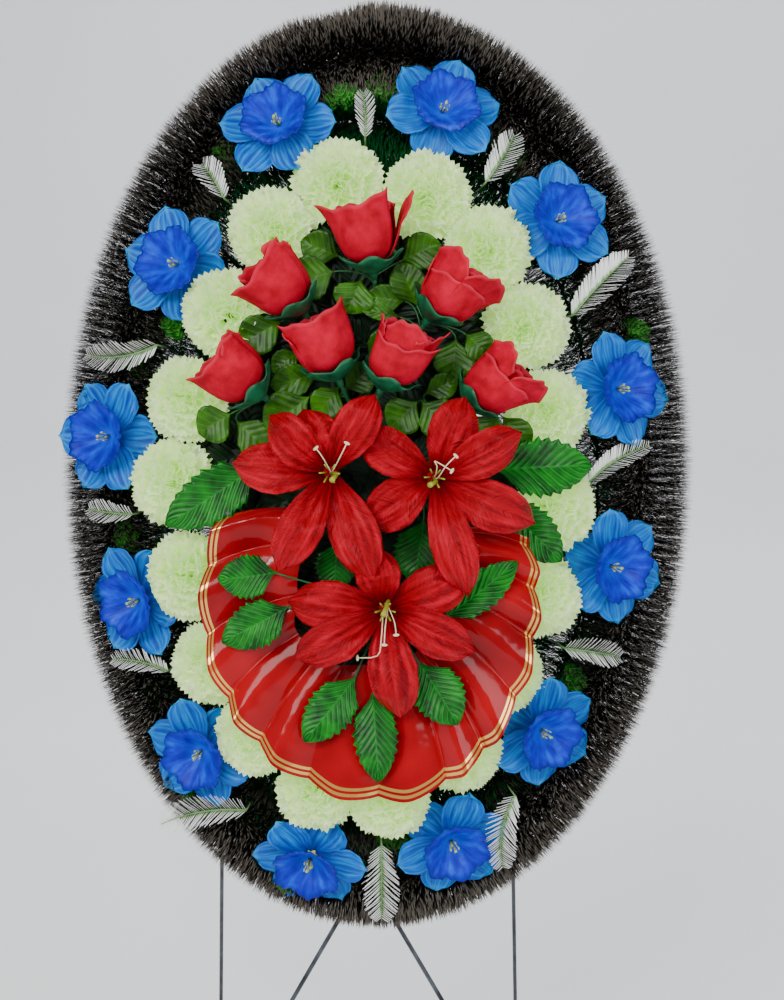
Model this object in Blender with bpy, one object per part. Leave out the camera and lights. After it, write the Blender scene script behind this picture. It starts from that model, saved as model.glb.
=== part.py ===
"""A standing funeral wreath of artificial flowers on a leaning wire stand.

An oval wire frame carries a black needle garland round its rim and a green garland in two
loops inside it. Blue daffodils stand on the outer loop of the green garland and pale
carnations on the inner one. Red roses and red lilies grow from two bunches in the middle, over
a pleated red ribbon. Metres, Z up, the front towards -Y, the feet on z = 0.

Every piece is modelled in the wreath's own axes: x to the right, z up along the oval, and y
away from the viewer, so that a thing which stands proud of the frame has a negative y. An
empty then leans all of it back.
"""

import math
import random

import bmesh
import bpy
from mathutils import Matrix, Vector
from mathutils.bvhtree import BVHTree

MM = 0.001

# The stand: how far the wreath leans back and how high the middle of its oval is.
LEAN = math.radians(12)
MIDDLE_HEIGHT = 0.86
LEG_RADIUS = 2.5 * MM
FRONT_FOOT_SPREAD = 0.250
REAR_FOOT_SPREAD = 0.195
STAND_DEPTH = 0.45
STAND_AXIS = -0.014

# The wire frame's ovals: middle across, middle up, half width and half height.
WIRE_RADIUS = 2 * MM
BAR_RADIUS = 1.75 * MM
UPRIGHT_RADIUS = 1.5 * MM
OUTER_OVAL = (0.0, 0.0, 0.285, 0.445)
INNER_OVAL = (-0.014, -0.020, 0.195, 0.322)
TOP_BAR = 0.225
BOTTOM_BAR = -0.250

# The garlands' cores.
DAFFODIL_OVAL = (-0.014, -0.015, 0.235, 0.365)
BLACK_CORE = 9 * MM
GREEN_CORE = 6 * MM

# Needles: the longest, and how a needle that touches something is cut shorter in turns.
NEEDLE = 60 * MM
NEEDLE_CUT = 0.68
NEEDLE_TRIALS = 16
NEEDLE_STUB = 0.4 * MM

# The photograph's scale, which places the flowers: metres for each pixel on the frame's plane,
# the pixel at the middle of the oval, and the distance and the slant of the view.
PIXEL = 0.001087
MIDDLE_PX = 378
MIDDLE_PY = 470
VIEW_DISTANCE = 2.3
VIEW_SLANT = 0.052

# The same for widths and lengths of what stands about 100 mm and 150 mm nearer to the viewer.
HEAD_PIXEL = 0.00105
LILY_PIXEL = 0.00103

GAP = 0.3 * MM
FLAT_ANGLE = math.radians(0.5)
WIRE_TOP = WIRE_RADIUS * math.cos(math.pi / 6)
TOWARDS_VIEWER = Vector((0, -1, 0))

# Daffodils: middle in the photograph, outward tilt and turn of the petals in degrees. Where a
# carnation's stem stands close, the turn puts a gap between two petals there.
DAFFODILS = [
    (441, 118, 27, 8),
    (554, 224, 24, 25),
    (614, 390, 33, 49),
    (609, 566, 30, 40),
    (540, 731, 31, 32),
    (450, 843, 28, 20),
    (310, 860, 36, 56),
    (202, 751, 28, 42),
    (141, 599, 36, 57),
    (113, 436, 34, 0),
    (181, 267, 25, 44),
    (282, 131, 29, 0),
]
DAFFODIL_RADIUS = 64 * MM
DAFFODIL_HEIGHT = 60 * MM
CORONA_RADIUS = 32 * MM
CORONA_DEPTH = 28 * MM

# Carnations: middle in the photograph and radius in pixels, clockwise from the upper left.
CARNATIONS = [
    [(273, 233, 45), (338, 182, 45), (427, 197, 45), (488, 250, 45), (527, 327, 44)],
    [(549, 412, 43), (555, 508, 44), (540, 597, 44), (505, 675, 42), (463, 755, 42)],
    [(388, 803, 43), (315, 795, 42), (255, 738, 43), (210, 665, 43)],
    [(188, 577, 45), (174, 482, 44), (188, 400, 43), (226, 314, 44)],
]
CARNATION_HEIGHT = 84 * MM
CARNATION_TILT = math.radians(10)
CARNATION_DEPTH = 30 * MM

# Roses: foot of the bud in the photograph, direction in degrees, length and least height.
ROSES = [
    (373, 266, 98, 78 * MM, 118 * MM),
    (300, 308, 128, 78 * MM, 118 * MM),
    (433, 314, 52, 76 * MM, 118 * MM),
    (336, 372, 112, 74 * MM, 132 * MM),
    (385, 382, 64, 76 * MM, 134 * MM),
    (258, 391, 140, 72 * MM, 118 * MM),
    (472, 401, 40, 76 * MM, 118 * MM),
]
ROSE_RISE = math.radians(24)

# Rose leaves: stalk end and tip in the photograph, and width in pixels.
ROSE_LEAVES = [
    (342, 264, 306, 242, 24),
    (340, 272, 294, 286, 30),
    (362, 282, 348, 313, 28),
    (285, 323, 241, 345, 28),
    (402, 302, 362, 309, 18),
    (402, 266, 438, 243, 26),
    (420, 308, 398, 266, 26),
    (462, 344, 455, 380, 30),
    (466, 335, 493, 358, 22),
    (368, 370, 394, 334, 26),
    (420, 398, 390, 424, 30),
    (420, 400, 450, 432, 32),
    (472, 416, 497, 445, 26),
    (500, 416, 526, 447, 22),
    (315, 383, 272, 388, 22),
    (310, 396, 280, 430, 36),
    (232, 415, 201, 433, 30),
    (236, 421, 275, 453, 30),
    (316, 394, 326, 424, 22),
]
ROSE_ROOT = (365, 425)
ROOT_HEIGHT = 60 * MM
LOWEST_LEAF = 104 * MM
LOWEST_RIBBON_LEAF = 134 * MM
LEAF_THICKNESS = 0.9 * MM

# Lilies: throat in the photograph, then each petal's direction in degrees and length in pixels.
LILIES = [
    (385, 610, [(172, 92), (211, 98), (275, 105), (337, 94), (25, 85), (100, 60)]),
    (330, 472, [(175, 92), (242, 105), (293, 110), (140, 76), (107, 62), (61, 84)]),
    (434, 477, [(332, 105), (24, 92), (67, 80), (150, 85), (212, 77), (285, 118)]),
]
LILY_HEIGHT = 146 * MM
LILY_STEM_TOP = 112 * MM
PETAL_THICKNESS = 1.0 * MM

# Lily leaves: stalk end and tip in the photograph, and width in pixels. The last ones lie on
# the ribbon, and their stalks come up inside its ring.
LILY_LEAVES = [
    (262, 462, 165, 525, 44),
    (492, 470, 592, 466, 48),
    (500, 500, 562, 562, 40),
    (338, 540, 334, 592, 34),
    (424, 518, 414, 584, 42),
]
RIBBON_LEAVES = [
    (278, 572, 217, 579, 36),
    (290, 606, 221, 643, 38),
    (440, 622, 518, 562, 32),
    (357, 676, 303, 744, 38),
    (372, 690, 378, 786, 36),
    (418, 662, 458, 727, 42),
]
LILY_ROOT = (383, 530)

# The ribbon's fan: middle, half width on the left and right, half height, first and last angle.
RIBBON_MIDDLE = (5 * MM, -131 * MM)
RIBBON_LEFT = 187 * MM
RIBBON_RIGHT = 160 * MM
RIBBON_DOWN = 205 * MM
RIBBON_INSIDE = 60 * MM
RIBBON_FROM = math.radians(155)
RIBBON_TO = math.radians(383)
RIBBON_FOLDS = 24
RIBBON_THICKNESS = 0.9 * MM
RIBBON_WAVE = 8 * MM

# Ferns: foot and tip in the photograph.
FERNS = [
    (366, 140, 364, 96),
    (486, 184, 514, 138),
    (572, 316, 628, 258),
    (587, 485, 650, 446),
    (566, 650, 622, 659),
    (516, 800, 504, 874),
    (381, 850, 381, 926),
    (244, 814, 158, 828),
    (166, 672, 110, 660),
    (132, 514, 88, 508),
    (158, 345, 88, 355),
    (226, 200, 204, 166),
]

# Small lobed leaves of the green garland: tip in the photograph.
SPRIGS = [
    (121, 357), (110, 539), (176, 802), (278, 900), (500, 868), (404, 858), (590, 690),
    (652, 330), (520, 138), (338, 84), (384, 74), (214, 148), (160, 318),
]


def photo_point(px, py, proud):
    """The place, in the wreath's axes, of a pixel on something that stands proud of the frame."""
    pixel = PIXEL * (1 - proud / VIEW_DISTANCE)
    across = (px - MIDDLE_PX) * pixel
    up = (MIDDLE_PY - py) * pixel + VIEW_SLANT * proud
    return Vector((across, -proud, up))


def oval_point(oval, angle, proud):
    """The point of an oval at an angle, standing proud of the frame."""
    across, up, half_width, half_height = oval
    return Vector((across + half_width * math.cos(angle), -proud, up + half_height * math.sin(angle)))


def outward(oval, point):
    """The direction square to an oval at a point, in the wreath's plane."""
    across, up, half_width, half_height = oval
    slope = Vector(((point.x - across) / half_width**2, 0, (point.z - up) / half_height**2))
    return slope.normalized()


def even_angles(oval, count):
    """Angles that split an oval into equally long steps."""
    fine = 720
    points = [oval_point(oval, math.tau * k / fine, 0) for k in range(fine + 1)]
    lengths = [0.0]
    for before, after in zip(points, points[1:]):
        lengths.append(lengths[-1] + (after - before).length)
    angles = []
    at = 0
    for k in range(count):
        wanted = lengths[-1] * k / count
        while lengths[at + 1] < wanted:
            at += 1
        part = (wanted - lengths[at]) / (lengths[at + 1] - lengths[at])
        angles.append(math.tau * (at + part) / fine)
    return angles


def vertices_of(geometry):
    """The vertices among what a mesh operator gave back."""
    return [item for item in geometry if isinstance(item, bmesh.types.BMVert)]


def face_out(body):
    """Turn every face of a closed body outwards."""
    bmesh.ops.recalc_face_normals(body, faces=body.faces)
    if body.calc_volume(signed=True) < 0:
        bmesh.ops.reverse_faces(body, faces=body.faces)


def stack(rings, loop=False):
    """A closed body through a stack of rings that all have the same number of points."""
    body = bmesh.new()
    first = bmesh.ops.create_circle(body, segments=len(rings[0]), radius=1)["verts"]
    last = first
    for vertex, point in zip(first, rings[0]):
        vertex.co = point
    for points in rings[1:]:
        edges = [body.edges.get((last[k - 1], last[k])) for k in range(len(last))]
        grown = bmesh.ops.extrude_edge_only(body, edges=edges)["geom"]
        by_place = {tuple(vertex.co): vertex for vertex in vertices_of(grown)}
        last = [by_place[tuple(vertex.co)] for vertex in last]
        for vertex, point in zip(last, points):
            vertex.co = point
    if loop:
        for k in range(len(last)):
            body.faces.new((last[k - 1], last[k], first[k], first[k - 1]))
    else:
        body.faces.new(first)
        body.faces.new(last)
    face_out(body)
    return body


def raise_cap(body, points, top):
    """Give the flat cap over a ring of points a middle vertex and move it to a place."""
    middle = sum(points, Vector()) / len(points)
    cap = min(body.faces, key=lambda face: (face.calc_center_median() - middle).length + len(points)
              - len(face.verts))
    peak = bmesh.ops.poke(body, faces=[cap])["verts"][0]
    peak.co = top


def ring(place, count, radius, height, flare=0.0, lift=0.0):
    """Points round a flower's axis, where every second one stands further out and higher."""
    points = []
    for k in range(count):
        angle = math.tau * k / count
        odd = k % 2
        reach = radius + flare * odd
        points.append(place @ Vector((reach * math.cos(angle), reach * math.sin(angle), height + lift * odd)))
    return points


def tube(path, radii, sides, loop=False, face=TOWARDS_VIEWER, turn=0.0):
    """A tube along a path, whose first ring starts towards a face direction."""
    count = len(path)
    tangents = []
    for k in range(count):
        before = path[k - 1] if loop or k > 0 else path[k]
        after = path[(k + 1) % count] if loop or k < count - 1 else path[k]
        tangents.append((after - before).normalized())
    side = (face - tangents[0] * face.dot(tangents[0])).normalized()
    rings = []
    for k in range(count):
        if k > 0:
            side = tangents[k - 1].rotation_difference(tangents[k]) @ side
        other = tangents[k].cross(side)
        points = []
        for corner in range(sides):
            angle = turn + math.tau * corner / sides
            points.append(path[k] + (side * math.cos(angle) + other * math.sin(angle)) * radii[k])
        rings.append(points)
    return stack(rings, loop)


def stalk(start, end, thick, thin, sides=4):
    """A straight stalk that tapers from its start to its end."""
    along = (end - start).normalized()
    face = Vector((1, 0, 0)) if abs(along.x) < 0.7 else Vector((0, 0, 1))
    return tube([start, end], [thick, thin], sides, face=face)


def blade(spine, half_widths, cup, thickness, face=TOWARDS_VIEWER):
    """A leaf or petal along a spine, folded along its middle and with real thickness."""
    rows = len(spine)
    body = bmesh.new()
    bmesh.ops.create_grid(body, x_segments=2, y_segments=rows - 1, size=1)
    for vertex in body.verts:
        column = round(vertex.co.x)
        row = round((vertex.co.y + 1) / 2 * (rows - 1))
        before = spine[max(row - 1, 0)]
        after = spine[min(row + 1, rows - 1)]
        along = (after - before).normalized()
        side = along.cross(face).normalized()
        normal = side.cross(along)
        width = half_widths[row]
        vertex.co = spine[row] + side * (column * width) + normal * (abs(column) * cup * width)
    bmesh.ops.triangulate(body, faces=body.faces)
    bmesh.ops.solidify(body, geom=body.faces, thickness=-thickness)
    face_out(body)
    return body


def bent_line(start, middle, end, steps):
    """Points along a curve that starts and ends at two points and bends towards a third."""
    points = []
    for k in range(steps + 1):
        t = k / steps
        points.append(start * (1 - t) ** 2 + middle * (2 * t * (1 - t)) + end * t**2)
    return points


def as_object(body, name):
    """Put a mesh body into the scene, under the leaning empty."""
    mesh = bpy.data.meshes.new(name)
    body.to_mesh(mesh)
    body.free()
    piece = bpy.data.objects.new(name, mesh)
    bpy.context.scene.collection.objects.link(piece)
    piece.parent = leaning
    return piece


def in_order(body):
    """The same body, numbered by where its corners are.

    A Boolean can number its result differently in each run, and the steps after it go by the
    numbers, so this keeps every run the same.
    """
    places = {vertex: tuple(round(value, 6) for value in vertex.co) for vertex in body.verts}
    vertices = sorted(body.verts, key=lambda vertex: places[vertex])
    numbers = {vertex: k for k, vertex in enumerate(vertices)}
    outlines = []
    for face in body.faces:
        corners = [numbers[vertex] for vertex in face.verts]
        start = corners.index(min(corners))
        outlines.append(corners[start:] + corners[:start])
    ordered = bmesh.new()
    made = [ordered.verts.new(vertex.co) for vertex in vertices]
    for corners in sorted(outlines):
        ordered.faces.new([made[k] for k in corners])
    body.free()
    return ordered


def fuse(bodies, solver="EXACT"):
    """Join closed bodies that cross one another into one body with a Boolean union."""
    pieces = [as_object(body, "fused") for body in bodies]
    group = bpy.data.collections.new("fused")
    bpy.context.scene.collection.children.link(group)
    for piece in pieces[1:]:
        group.objects.link(piece)
    join = pieces[0].modifiers.new("join", "BOOLEAN")
    join.operation = "UNION"
    join.operand_type = "COLLECTION"
    join.collection = group
    join.solver = solver
    bpy.context.view_layer.update()
    view = bpy.context.evaluated_depsgraph_get()
    whole = bmesh.new()
    whole.from_mesh(pieces[0].evaluated_get(view).to_mesh())
    for piece in pieces:
        bpy.data.objects.remove(piece)
    bpy.data.collections.remove(group)
    whole = in_order(whole)
    bmesh.ops.dissolve_limit(whole, angle_limit=FLAT_ANGLE, verts=whole.verts, edges=whole.edges)
    whole = in_order(whole)
    bmesh.ops.triangulate(whole, faces=whole.faces)
    return whole


def grown_tree(body, by=GAP):
    """A search tree over a body that is made a little thicker."""
    thicker = body.copy()
    thicker.normal_update()
    normals = [vertex.normal.copy() for vertex in thicker.verts]
    for vertex, normal in zip(thicker.verts, normals):
        vertex.co += normal * by
    tree = BVHTree.FromBMesh(thicker)
    thicker.free()
    return tree


def blockers(body, placed):
    """The names of the placed things that a body comes too close to."""
    tree = grown_tree(body)
    return [name for name, other in placed.items() if tree.overlap(other)]


def first_clear(build, steps, placed, name):
    """The body of the first step that touches nothing placed so far."""
    found = []
    for step in steps:
        body = build(step)
        found = blockers(body, placed)
        if not found:
            return body, step
        body.free()
    print(f"{name}: blocked by {found}")
    return build(steps[-1]), steps[-1]


def metres(first, last, step):
    """Evenly spaced lengths from the first to the last."""
    count = int(round(abs(last - first) / step)) + 1
    sign = 1 if last > first else -1
    return [first + sign * step * k for k in range(count)]


def finish(name, body, colour, roughness, metallic=0.0):
    """Turn a body into a named object with its own material."""
    face_out(body)
    trees[name] = grown_tree(body, 0.0)
    grown_trees[name] = grown_tree(body)
    print(name, len(body.faces))
    piece = as_object(body, name)
    material = bpy.data.materials.new(name)
    material.use_nodes = True
    shader = material.node_tree.nodes["Principled BSDF"]
    if metallic:
        piece.data.polygons.foreach_set("use_smooth", [True] * len(piece.data.polygons))
    shader.inputs["Base Color"].default_value = (*colour, 1)
    shader.inputs["Roughness"].default_value = roughness
    shader.inputs["Metallic"].default_value = metallic
    piece.data.materials.append(material)
    return piece


def flower_place(middle, tilt, bearing, roll):
    """The matrix of a flower that faces the viewer, tilted towards a direction in the plane."""
    facing = TOWARDS_VIEWER * math.cos(tilt) + bearing * math.sin(tilt)
    turned = facing.to_track_quat("Z", "Y").to_matrix().to_4x4()
    return Matrix.Translation(middle) @ turned @ Matrix.Rotation(roll, 4, "Z")


def nearest_on(path, point):
    """The point of a closed path that lies closest to a point, seen from the front."""
    best = None
    for before, after in zip(path, path[1:] + path[:1]):
        along = after - before
        share = (point - before).dot(along) / along.length_squared
        found = before + along * min(max(share, 0), 1)
        away = math.hypot(found.x - point.x, found.z - point.z)
        if best is None or away < best[0]:
            best = (away, found)
    return best[1]


def seat_on_green(point, path):
    """The seat of a stem on the flat top of a loop of the green garland."""
    seat = nearest_on(path, point).copy()
    seat.y = -(GREEN_TOP + GAP + 0.05 * MM)
    return seat


def seat_ring(seat, count, radius):
    """The flat end of a stem on its seat."""
    return ring(Matrix.Translation(seat) @ Matrix.Rotation(math.pi / 2, 4, "X"), count, radius, 0)


def daffodil_petals(middle, seat, tilt, roll):
    """Six pointed petals in one star, on a neck that narrows to a point at its seat."""
    bearing = outward(DAFFODIL_OVAL, middle)
    place = flower_place(middle, tilt, bearing, roll)
    outline = []
    neck = []
    for k in range(24):
        part = k % 4
        petal = k // 4
        turn = math.radians((0, 17, 30, 43)[part] + 60 * petal)
        share = (1.0, 0.86, 0.46, 0.86)[part]
        reach = share * DAFFODIL_RADIUS
        in_front = (petal + (part == 3)) % 2 and part != 2
        height = 8 * MM * share**2 + (3.5 * MM if in_front else 0.0)
        outline.append(place @ Vector((reach * math.cos(turn), reach * math.sin(turn), height)))
        neck.append(place @ Vector((5 * MM * math.cos(turn), 5 * MM * math.sin(turn), -12 * MM)))
    for point in outline:
        inwards = max(0.0, -(point - middle).dot(bearing)) / DAFFODIL_RADIUS
        point.y += (DAFFODIL_RADIUS * math.sin(tilt) + 16 * MM) * inwards**1.6
    body = stack([neck, outline])
    raise_cap(body, neck, seat)
    raise_cap(body, outline, middle)
    return body


def daffodil_corona(middle, tilt, roll, height):
    """The ruffled trumpet, open at the front, with the stamens standing in it."""
    place = flower_place(middle, tilt, outward(DAFFODIL_OVAL, middle), roll)
    place = place @ Matrix.Translation((0, 0, height))
    inside = ring(place, 12, 8 * MM, 4 * MM)
    rings = [
        ring(place, 12, 9 * MM, 0),
        ring(place, 12, 21 * MM, CORONA_DEPTH * 0.55),
        ring(place, 12, CORONA_RADIUS, CORONA_DEPTH * 0.86, 4.5 * MM, 4 * MM),
        ring(place, 12, CORONA_RADIUS - 2.5 * MM, CORONA_DEPTH * 0.9, 4.5 * MM, 4 * MM),
        inside,
    ]
    body = stack(rings)
    raise_cap(body, inside, place @ Vector((0, 0, 20 * MM)))
    return body


def carnation(middle, seat, radius, bearing, roll, walls):
    """A frilly head in two layers of teeth over its cup, on a stem that narrows to its seat."""
    place = flower_place(middle, CARNATION_TILT, bearing, roll)
    cup = ring(place, 18, 7 * MM, -CARNATION_DEPTH)
    top = ring(place, 18, 0.50 * radius, 17 * MM, 0.14 * radius, 5 * MM)
    rings = [
        cup,
        ring(place, 18, 0.90 * radius, -8 * MM, 0.17 * radius, 5 * MM),
        ring(place, 18, 0.70 * radius, 2 * MM, 0.02 * radius, 3 * MM),
        top,
    ]
    for wall, normal in walls:
        for points in rings[1:]:
            for point in points:
                beyond = (point - wall).dot(normal)
                if beyond > 0:
                    point -= normal * beyond
    body = stack(rings)
    raise_cap(body, cup, seat)
    raise_cap(body, top, place @ Vector((0, 0, 11 * MM)))
    return body


def carnation_walls(middle, heads):
    """Upright planes that keep a head out of its neighbours and out of the trumpets beside it."""
    walls = []
    for other in heads:
        apart = Vector((other.x - middle.x, 0, other.z - middle.z))
        if 0 < apart.length < 0.120:
            normal = apart.normalized()
            walls.append((middle + apart / 2 - normal * GAP / 2, normal))
    for px, py, _, _ in DAFFODILS:
        other = photo_point(px, py, DAFFODIL_HEIGHT)
        apart = Vector((other.x - middle.x, 0, other.z - middle.z))
        if apart.length < 0.075:
            walls.append((other - apart.normalized() * 15 * MM, apart.normalized()))
    return walls


def carnation_group(group, rise):
    """The heads of one stretch of the ring, tied together by a wire between their stems."""
    middles = [[photo_point(px, py, CARNATION_HEIGHT) for px, py, _ in row] for row in CARNATIONS]
    heads = []
    ties = []
    for k, (px, py, radius_px) in enumerate(CARNATIONS[group]):
        middle = middles[group][k]
        bearing = outward(INNER_OVAL, middle)
        walls = carnation_walls(middle, sum(middles, []))
        raised = middle + TOWARDS_VIEWER * rise
        seat = seat_on_green(middle, inner_path)
        any_roll = math.radians(px)
        heads.append(carnation(raised, seat, radius_px * HEAD_PIXEL, bearing, any_roll, walls))
        foot = flower_place(raised, CARNATION_TILT, bearing, 0) @ Vector((0, 0, -CARNATION_DEPTH))
        ties.append(seat.lerp(foot, 0.4))
    for before, after in zip(ties, ties[1:]):
        heads.append(stalk(before, after, 1.3 * MM, 1.3 * MM, 3))
    return fuse(heads)


def rose_axis(direction):
    """The way a bud points: out across the wreath and a little towards the viewer."""
    angle = math.radians(direction)
    flat = Vector((math.cos(angle), 0, math.sin(angle)))
    return flat * math.cos(ROSE_RISE) + TOWARDS_VIEWER * math.sin(ROSE_RISE)


def rose_place(foot, direction):
    """The matrix of a bud with its foot at a point."""
    turned = rose_axis(direction).to_track_quat("Z", "Y").to_matrix().to_4x4()
    return Matrix.Translation(foot) @ turned


def rose_bud(foot, direction, length):
    """A cupped bud whose outer petals turn out at the rim, round a rolled heart."""
    place = rose_place(foot, direction)
    heart = ring(place, 10, 13 * MM, 0.90 * length)
    rings = [
        ring(place, 10, 8 * MM, 0),
        ring(place, 10, 25 * MM, 0.24 * length),
        ring(place, 10, 29 * MM, 0.55 * length),
        ring(place, 10, 31 * MM, 0.76 * length, 6 * MM, 9 * MM),
        ring(place, 10, 24 * MM, 0.82 * length, 2 * MM, 3 * MM),
        heart,
    ]
    body = stack(rings)
    raise_cap(body, heart, place @ Vector((0, 0, length)))
    return body


def rose_calyx(foot, direction):
    """The green star under a bud, on the thick end of its stem."""
    place = rose_place(foot, direction)
    under = -(GAP + 0.1 * MM)
    rings = [
        ring(place, 8, 3.2 * MM, -15 * MM),
        ring(place, 8, 9 * MM, -3 * MM, 15 * MM, 10 * MM),
        ring(place, 8, 7 * MM, under),
    ]
    return stack(rings)


def rose_with_calyx(px, py, direction, length, proud):
    """A bud and its calyx as one trial body, to find how high the bud lies."""
    foot = photo_point(px, py, proud)
    return with_body(rose_bud(foot, direction, length), rose_calyx(foot, direction))


def leaf_spine(stalk_points, start, tip, steps):
    """The middle line of a leaf: the points of its stalk, then an arch to its tip."""
    over = (start + tip) / 2 + TOWARDS_VIEWER * 9 * MM
    return stalk_points + bent_line(start, over, tip, steps)


def leaf_face(start, tip):
    """The way a leaf's upper side looks: to the viewer and a little back along the leaf."""
    return (TOWARDS_VIEWER - (tip - start).normalized() * 0.5).normalized()


def oval_leaf(stalk_points, start, tip, half_width):
    """A rounded leaf, widest in its middle, with its stalk."""
    spine = leaf_spine(stalk_points, start, tip, 3)
    widths = [1.2 * MM, 1.6 * MM, half_width, half_width * 0.9, 1.2 * MM]
    return blade(spine, widths[-len(spine):], 0.18, LEAF_THICKNESS, leaf_face(start, tip))


def toothed_leaf(stalk_points, start, tip, half_width):
    """A long leaf with a toothed edge, with its stalk."""
    spine = leaf_spine(stalk_points, start, tip, 6)
    shares = [0.06, 0.06, 0.06, 0.10, 0.85, 0.74, 1.0, 0.70, 0.72, 0.06]
    widths = [max(half_width * share, 1.2 * MM) for share in shares]
    return blade(spine, widths[-len(spine):], 0.16, LEAF_THICKNESS, leaf_face(start, tip))


def lily(middle, stem_top, petals):
    """Six long petals that curl over at their tips, a throat and a pistil, fused in one body."""
    bodies = []
    for k, (direction, length_px) in enumerate(petals):
        angle = math.radians(direction)
        flat = Vector((math.cos(angle), 0, math.sin(angle)))
        length = length_px * LILY_PIXEL
        layer = 6 * MM if k % 2 else 0.0
        shares = [(0.0, -5 * MM), (0.22, 8 * MM), (0.50, 19 * MM), (0.78, 18 * MM), (1.0, 6 * MM)]
        spine = [middle + flat * (length * share + 5 * MM) + TOWARDS_VIEWER * (high + layer * min(share * 3, 1))
                 for share, high in shares]
        half_width = 19 * MM if k % 2 else 22 * MM
        widths = [4 * MM, half_width * 0.72, half_width, half_width * 0.74, 3 * MM]
        bodies.append(blade(spine, widths, 0.22, PETAL_THICKNESS))
    facing = Matrix.Translation(middle) @ Matrix.Rotation(math.pi / 2, 4, "X")
    throat = stack([
        seat_ring(stem_top, 6, 3 * MM),
        ring(facing, 6, 11 * MM, -6 * MM),
        ring(facing, 6, 3 * MM, 6 * MM),
        ring(facing, 6, 2 * MM, 34 * MM),
    ])
    bodies.append(throat)
    return fuse(bodies)


def fern(px, py, tip_px, tip_py, proud):
    """A narrow frond with barbed edges that leaves the green garland and bends out."""
    foot = photo_point(px, py, proud)
    tip = photo_point(tip_px, tip_py, proud + 4 * MM)
    seat = seat_on_green(foot, outer_path)
    out = outward(DAFFODIL_OVAL, seat)
    over = (foot + tip) / 2 + TOWARDS_VIEWER * 8 * MM
    spine = [seat] + bent_line(foot, over, tip, 5)
    widths = [1.0 * MM, 3 * MM, 13 * MM, 6 * MM, 13 * MM, 6 * MM, 1.2 * MM]
    return blade(spine, widths, 0.10, LEAF_THICKNESS, (TOWARDS_VIEWER - out * 0.5).normalized())


def ribbon(rise):
    """The pleated fan that lies round the middle of the wreath."""
    body = bmesh.new()
    bmesh.ops.create_grid(body, x_segments=RIBBON_FOLDS, y_segments=1, size=1)
    for vertex in body.verts:
        column = round((vertex.co.x + 1) / 2 * RIBBON_FOLDS)
        angle = RIBBON_FROM + (RIBBON_TO - RIBBON_FROM) * column / RIBBON_FOLDS
        half_width = RIBBON_LEFT if math.cos(angle) < 0 else RIBBON_RIGHT
        reach = 1 / math.hypot(math.cos(angle) / half_width, math.sin(angle) / RIBBON_DOWN)
        outer = vertex.co.y > 0
        ridge = 1 if column % 2 else -1
        distance = reach + 2 * MM * ridge if outer else RIBBON_INSIDE
        proud = rise + ridge * (RIBBON_WAVE if outer else RIBBON_WAVE / 2)
        vertex.co = Vector((RIBBON_MIDDLE[0] + distance * math.cos(angle), -proud,
                            RIBBON_MIDDLE[1] + distance * math.sin(angle)))
    bmesh.ops.triangulate(body, faces=body.faces)
    bmesh.ops.solidify(body, geom=body.faces, thickness=RIBBON_THICKNESS)
    face_out(body)
    return body


def spiked(core, direction_of, placed):
    """Draw the faces of a garland's core out into needles that stop short of everything else."""
    bmesh.ops.triangulate(core, faces=core.faces)
    core = in_order(core)
    core.normal_update()
    wanted = []
    for face in core.faces:
        direction, length = direction_of(face)
        if length > 0:
            wanted.append((face, direction, length))
    peaks = []
    for face, direction, length in wanted:
        foot = face.calc_center_median()
        peak = bmesh.ops.poke(core, faces=[face])["verts"][0]
        peaks.append([peak, foot, direction, length])
    core.faces.ensure_lookup_table()
    core.faces.index_update()
    for trial in range(NEEDLE_TRIALS):
        last = trial == NEEDLE_TRIALS - 1
        for peak, foot, direction, length in peaks:
            peak.co = foot + direction * (min(length, NEEDLE_STUB) if last else length)
        tree = BVHTree.FromBMesh(core)
        touched = set()
        for other in placed:
            for face_index, _ in tree.overlap(other):
                touched.update(core.faces[face_index].verts)
        hit = [entry for entry in peaks if entry[0] in touched]
        if not hit:
            break
        for entry in hit:
            entry[3] *= NEEDLE_CUT
    return core


for item in list(bpy.data.objects):
    bpy.data.objects.remove(item)

rng = random.Random(12)
trees = {}
grown_trees = {}

standing = bpy.data.objects.new("standing", None)
leaning = bpy.data.objects.new("leaning", None)
bpy.context.scene.collection.objects.link(standing)
bpy.context.scene.collection.objects.link(leaning)
leaning.parent = standing
leaning.location = (0, 0, MIDDLE_HEIGHT)
leaning.rotation_euler = (-LEAN, 0, 0)
to_world = Matrix.Translation((0, 0, MIDDLE_HEIGHT)) @ Matrix.Rotation(-LEAN, 4, "X")
to_wreath = to_world.inverted()

# The colours that more than one piece shares.
STEEL = (0.10, 0.11, 0.12)
LEAF_GREEN = (0.02, 0.16, 0.03)

# The paths of the garlands' cores, which the stems need first.
GREEN_HEIGHT = WIRE_TOP + GAP + GREEN_CORE * math.cos(math.pi / 4)
GREEN_TOP = GREEN_HEIGHT + GREEN_CORE * math.cos(math.pi / 4)
BLACK_HEIGHT = WIRE_TOP + GAP + BLACK_CORE * math.cos(math.pi / 5)
outer_path = [oval_point(DAFFODIL_OVAL, angle, GREEN_HEIGHT) for angle in even_angles(DAFFODIL_OVAL, 34)]
inner_path = [oval_point(INNER_OVAL, angle, GREEN_HEIGHT) for angle in even_angles(INNER_OVAL, 28)]
black_path = [oval_point(OUTER_OVAL, angle, BLACK_HEIGHT) for angle in even_angles(OUTER_OVAL, 78)]


def green_loop(path):
    """One loop of the green garland's flat-based core."""
    return tube(path, [GREEN_CORE] * len(path), 4, loop=True, turn=math.pi / 4)


def black_core():
    """The rim garland's five-sided core, with a flat side on the wires."""
    return tube(black_path, [BLACK_CORE] * len(black_path), 5, loop=True)


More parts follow.
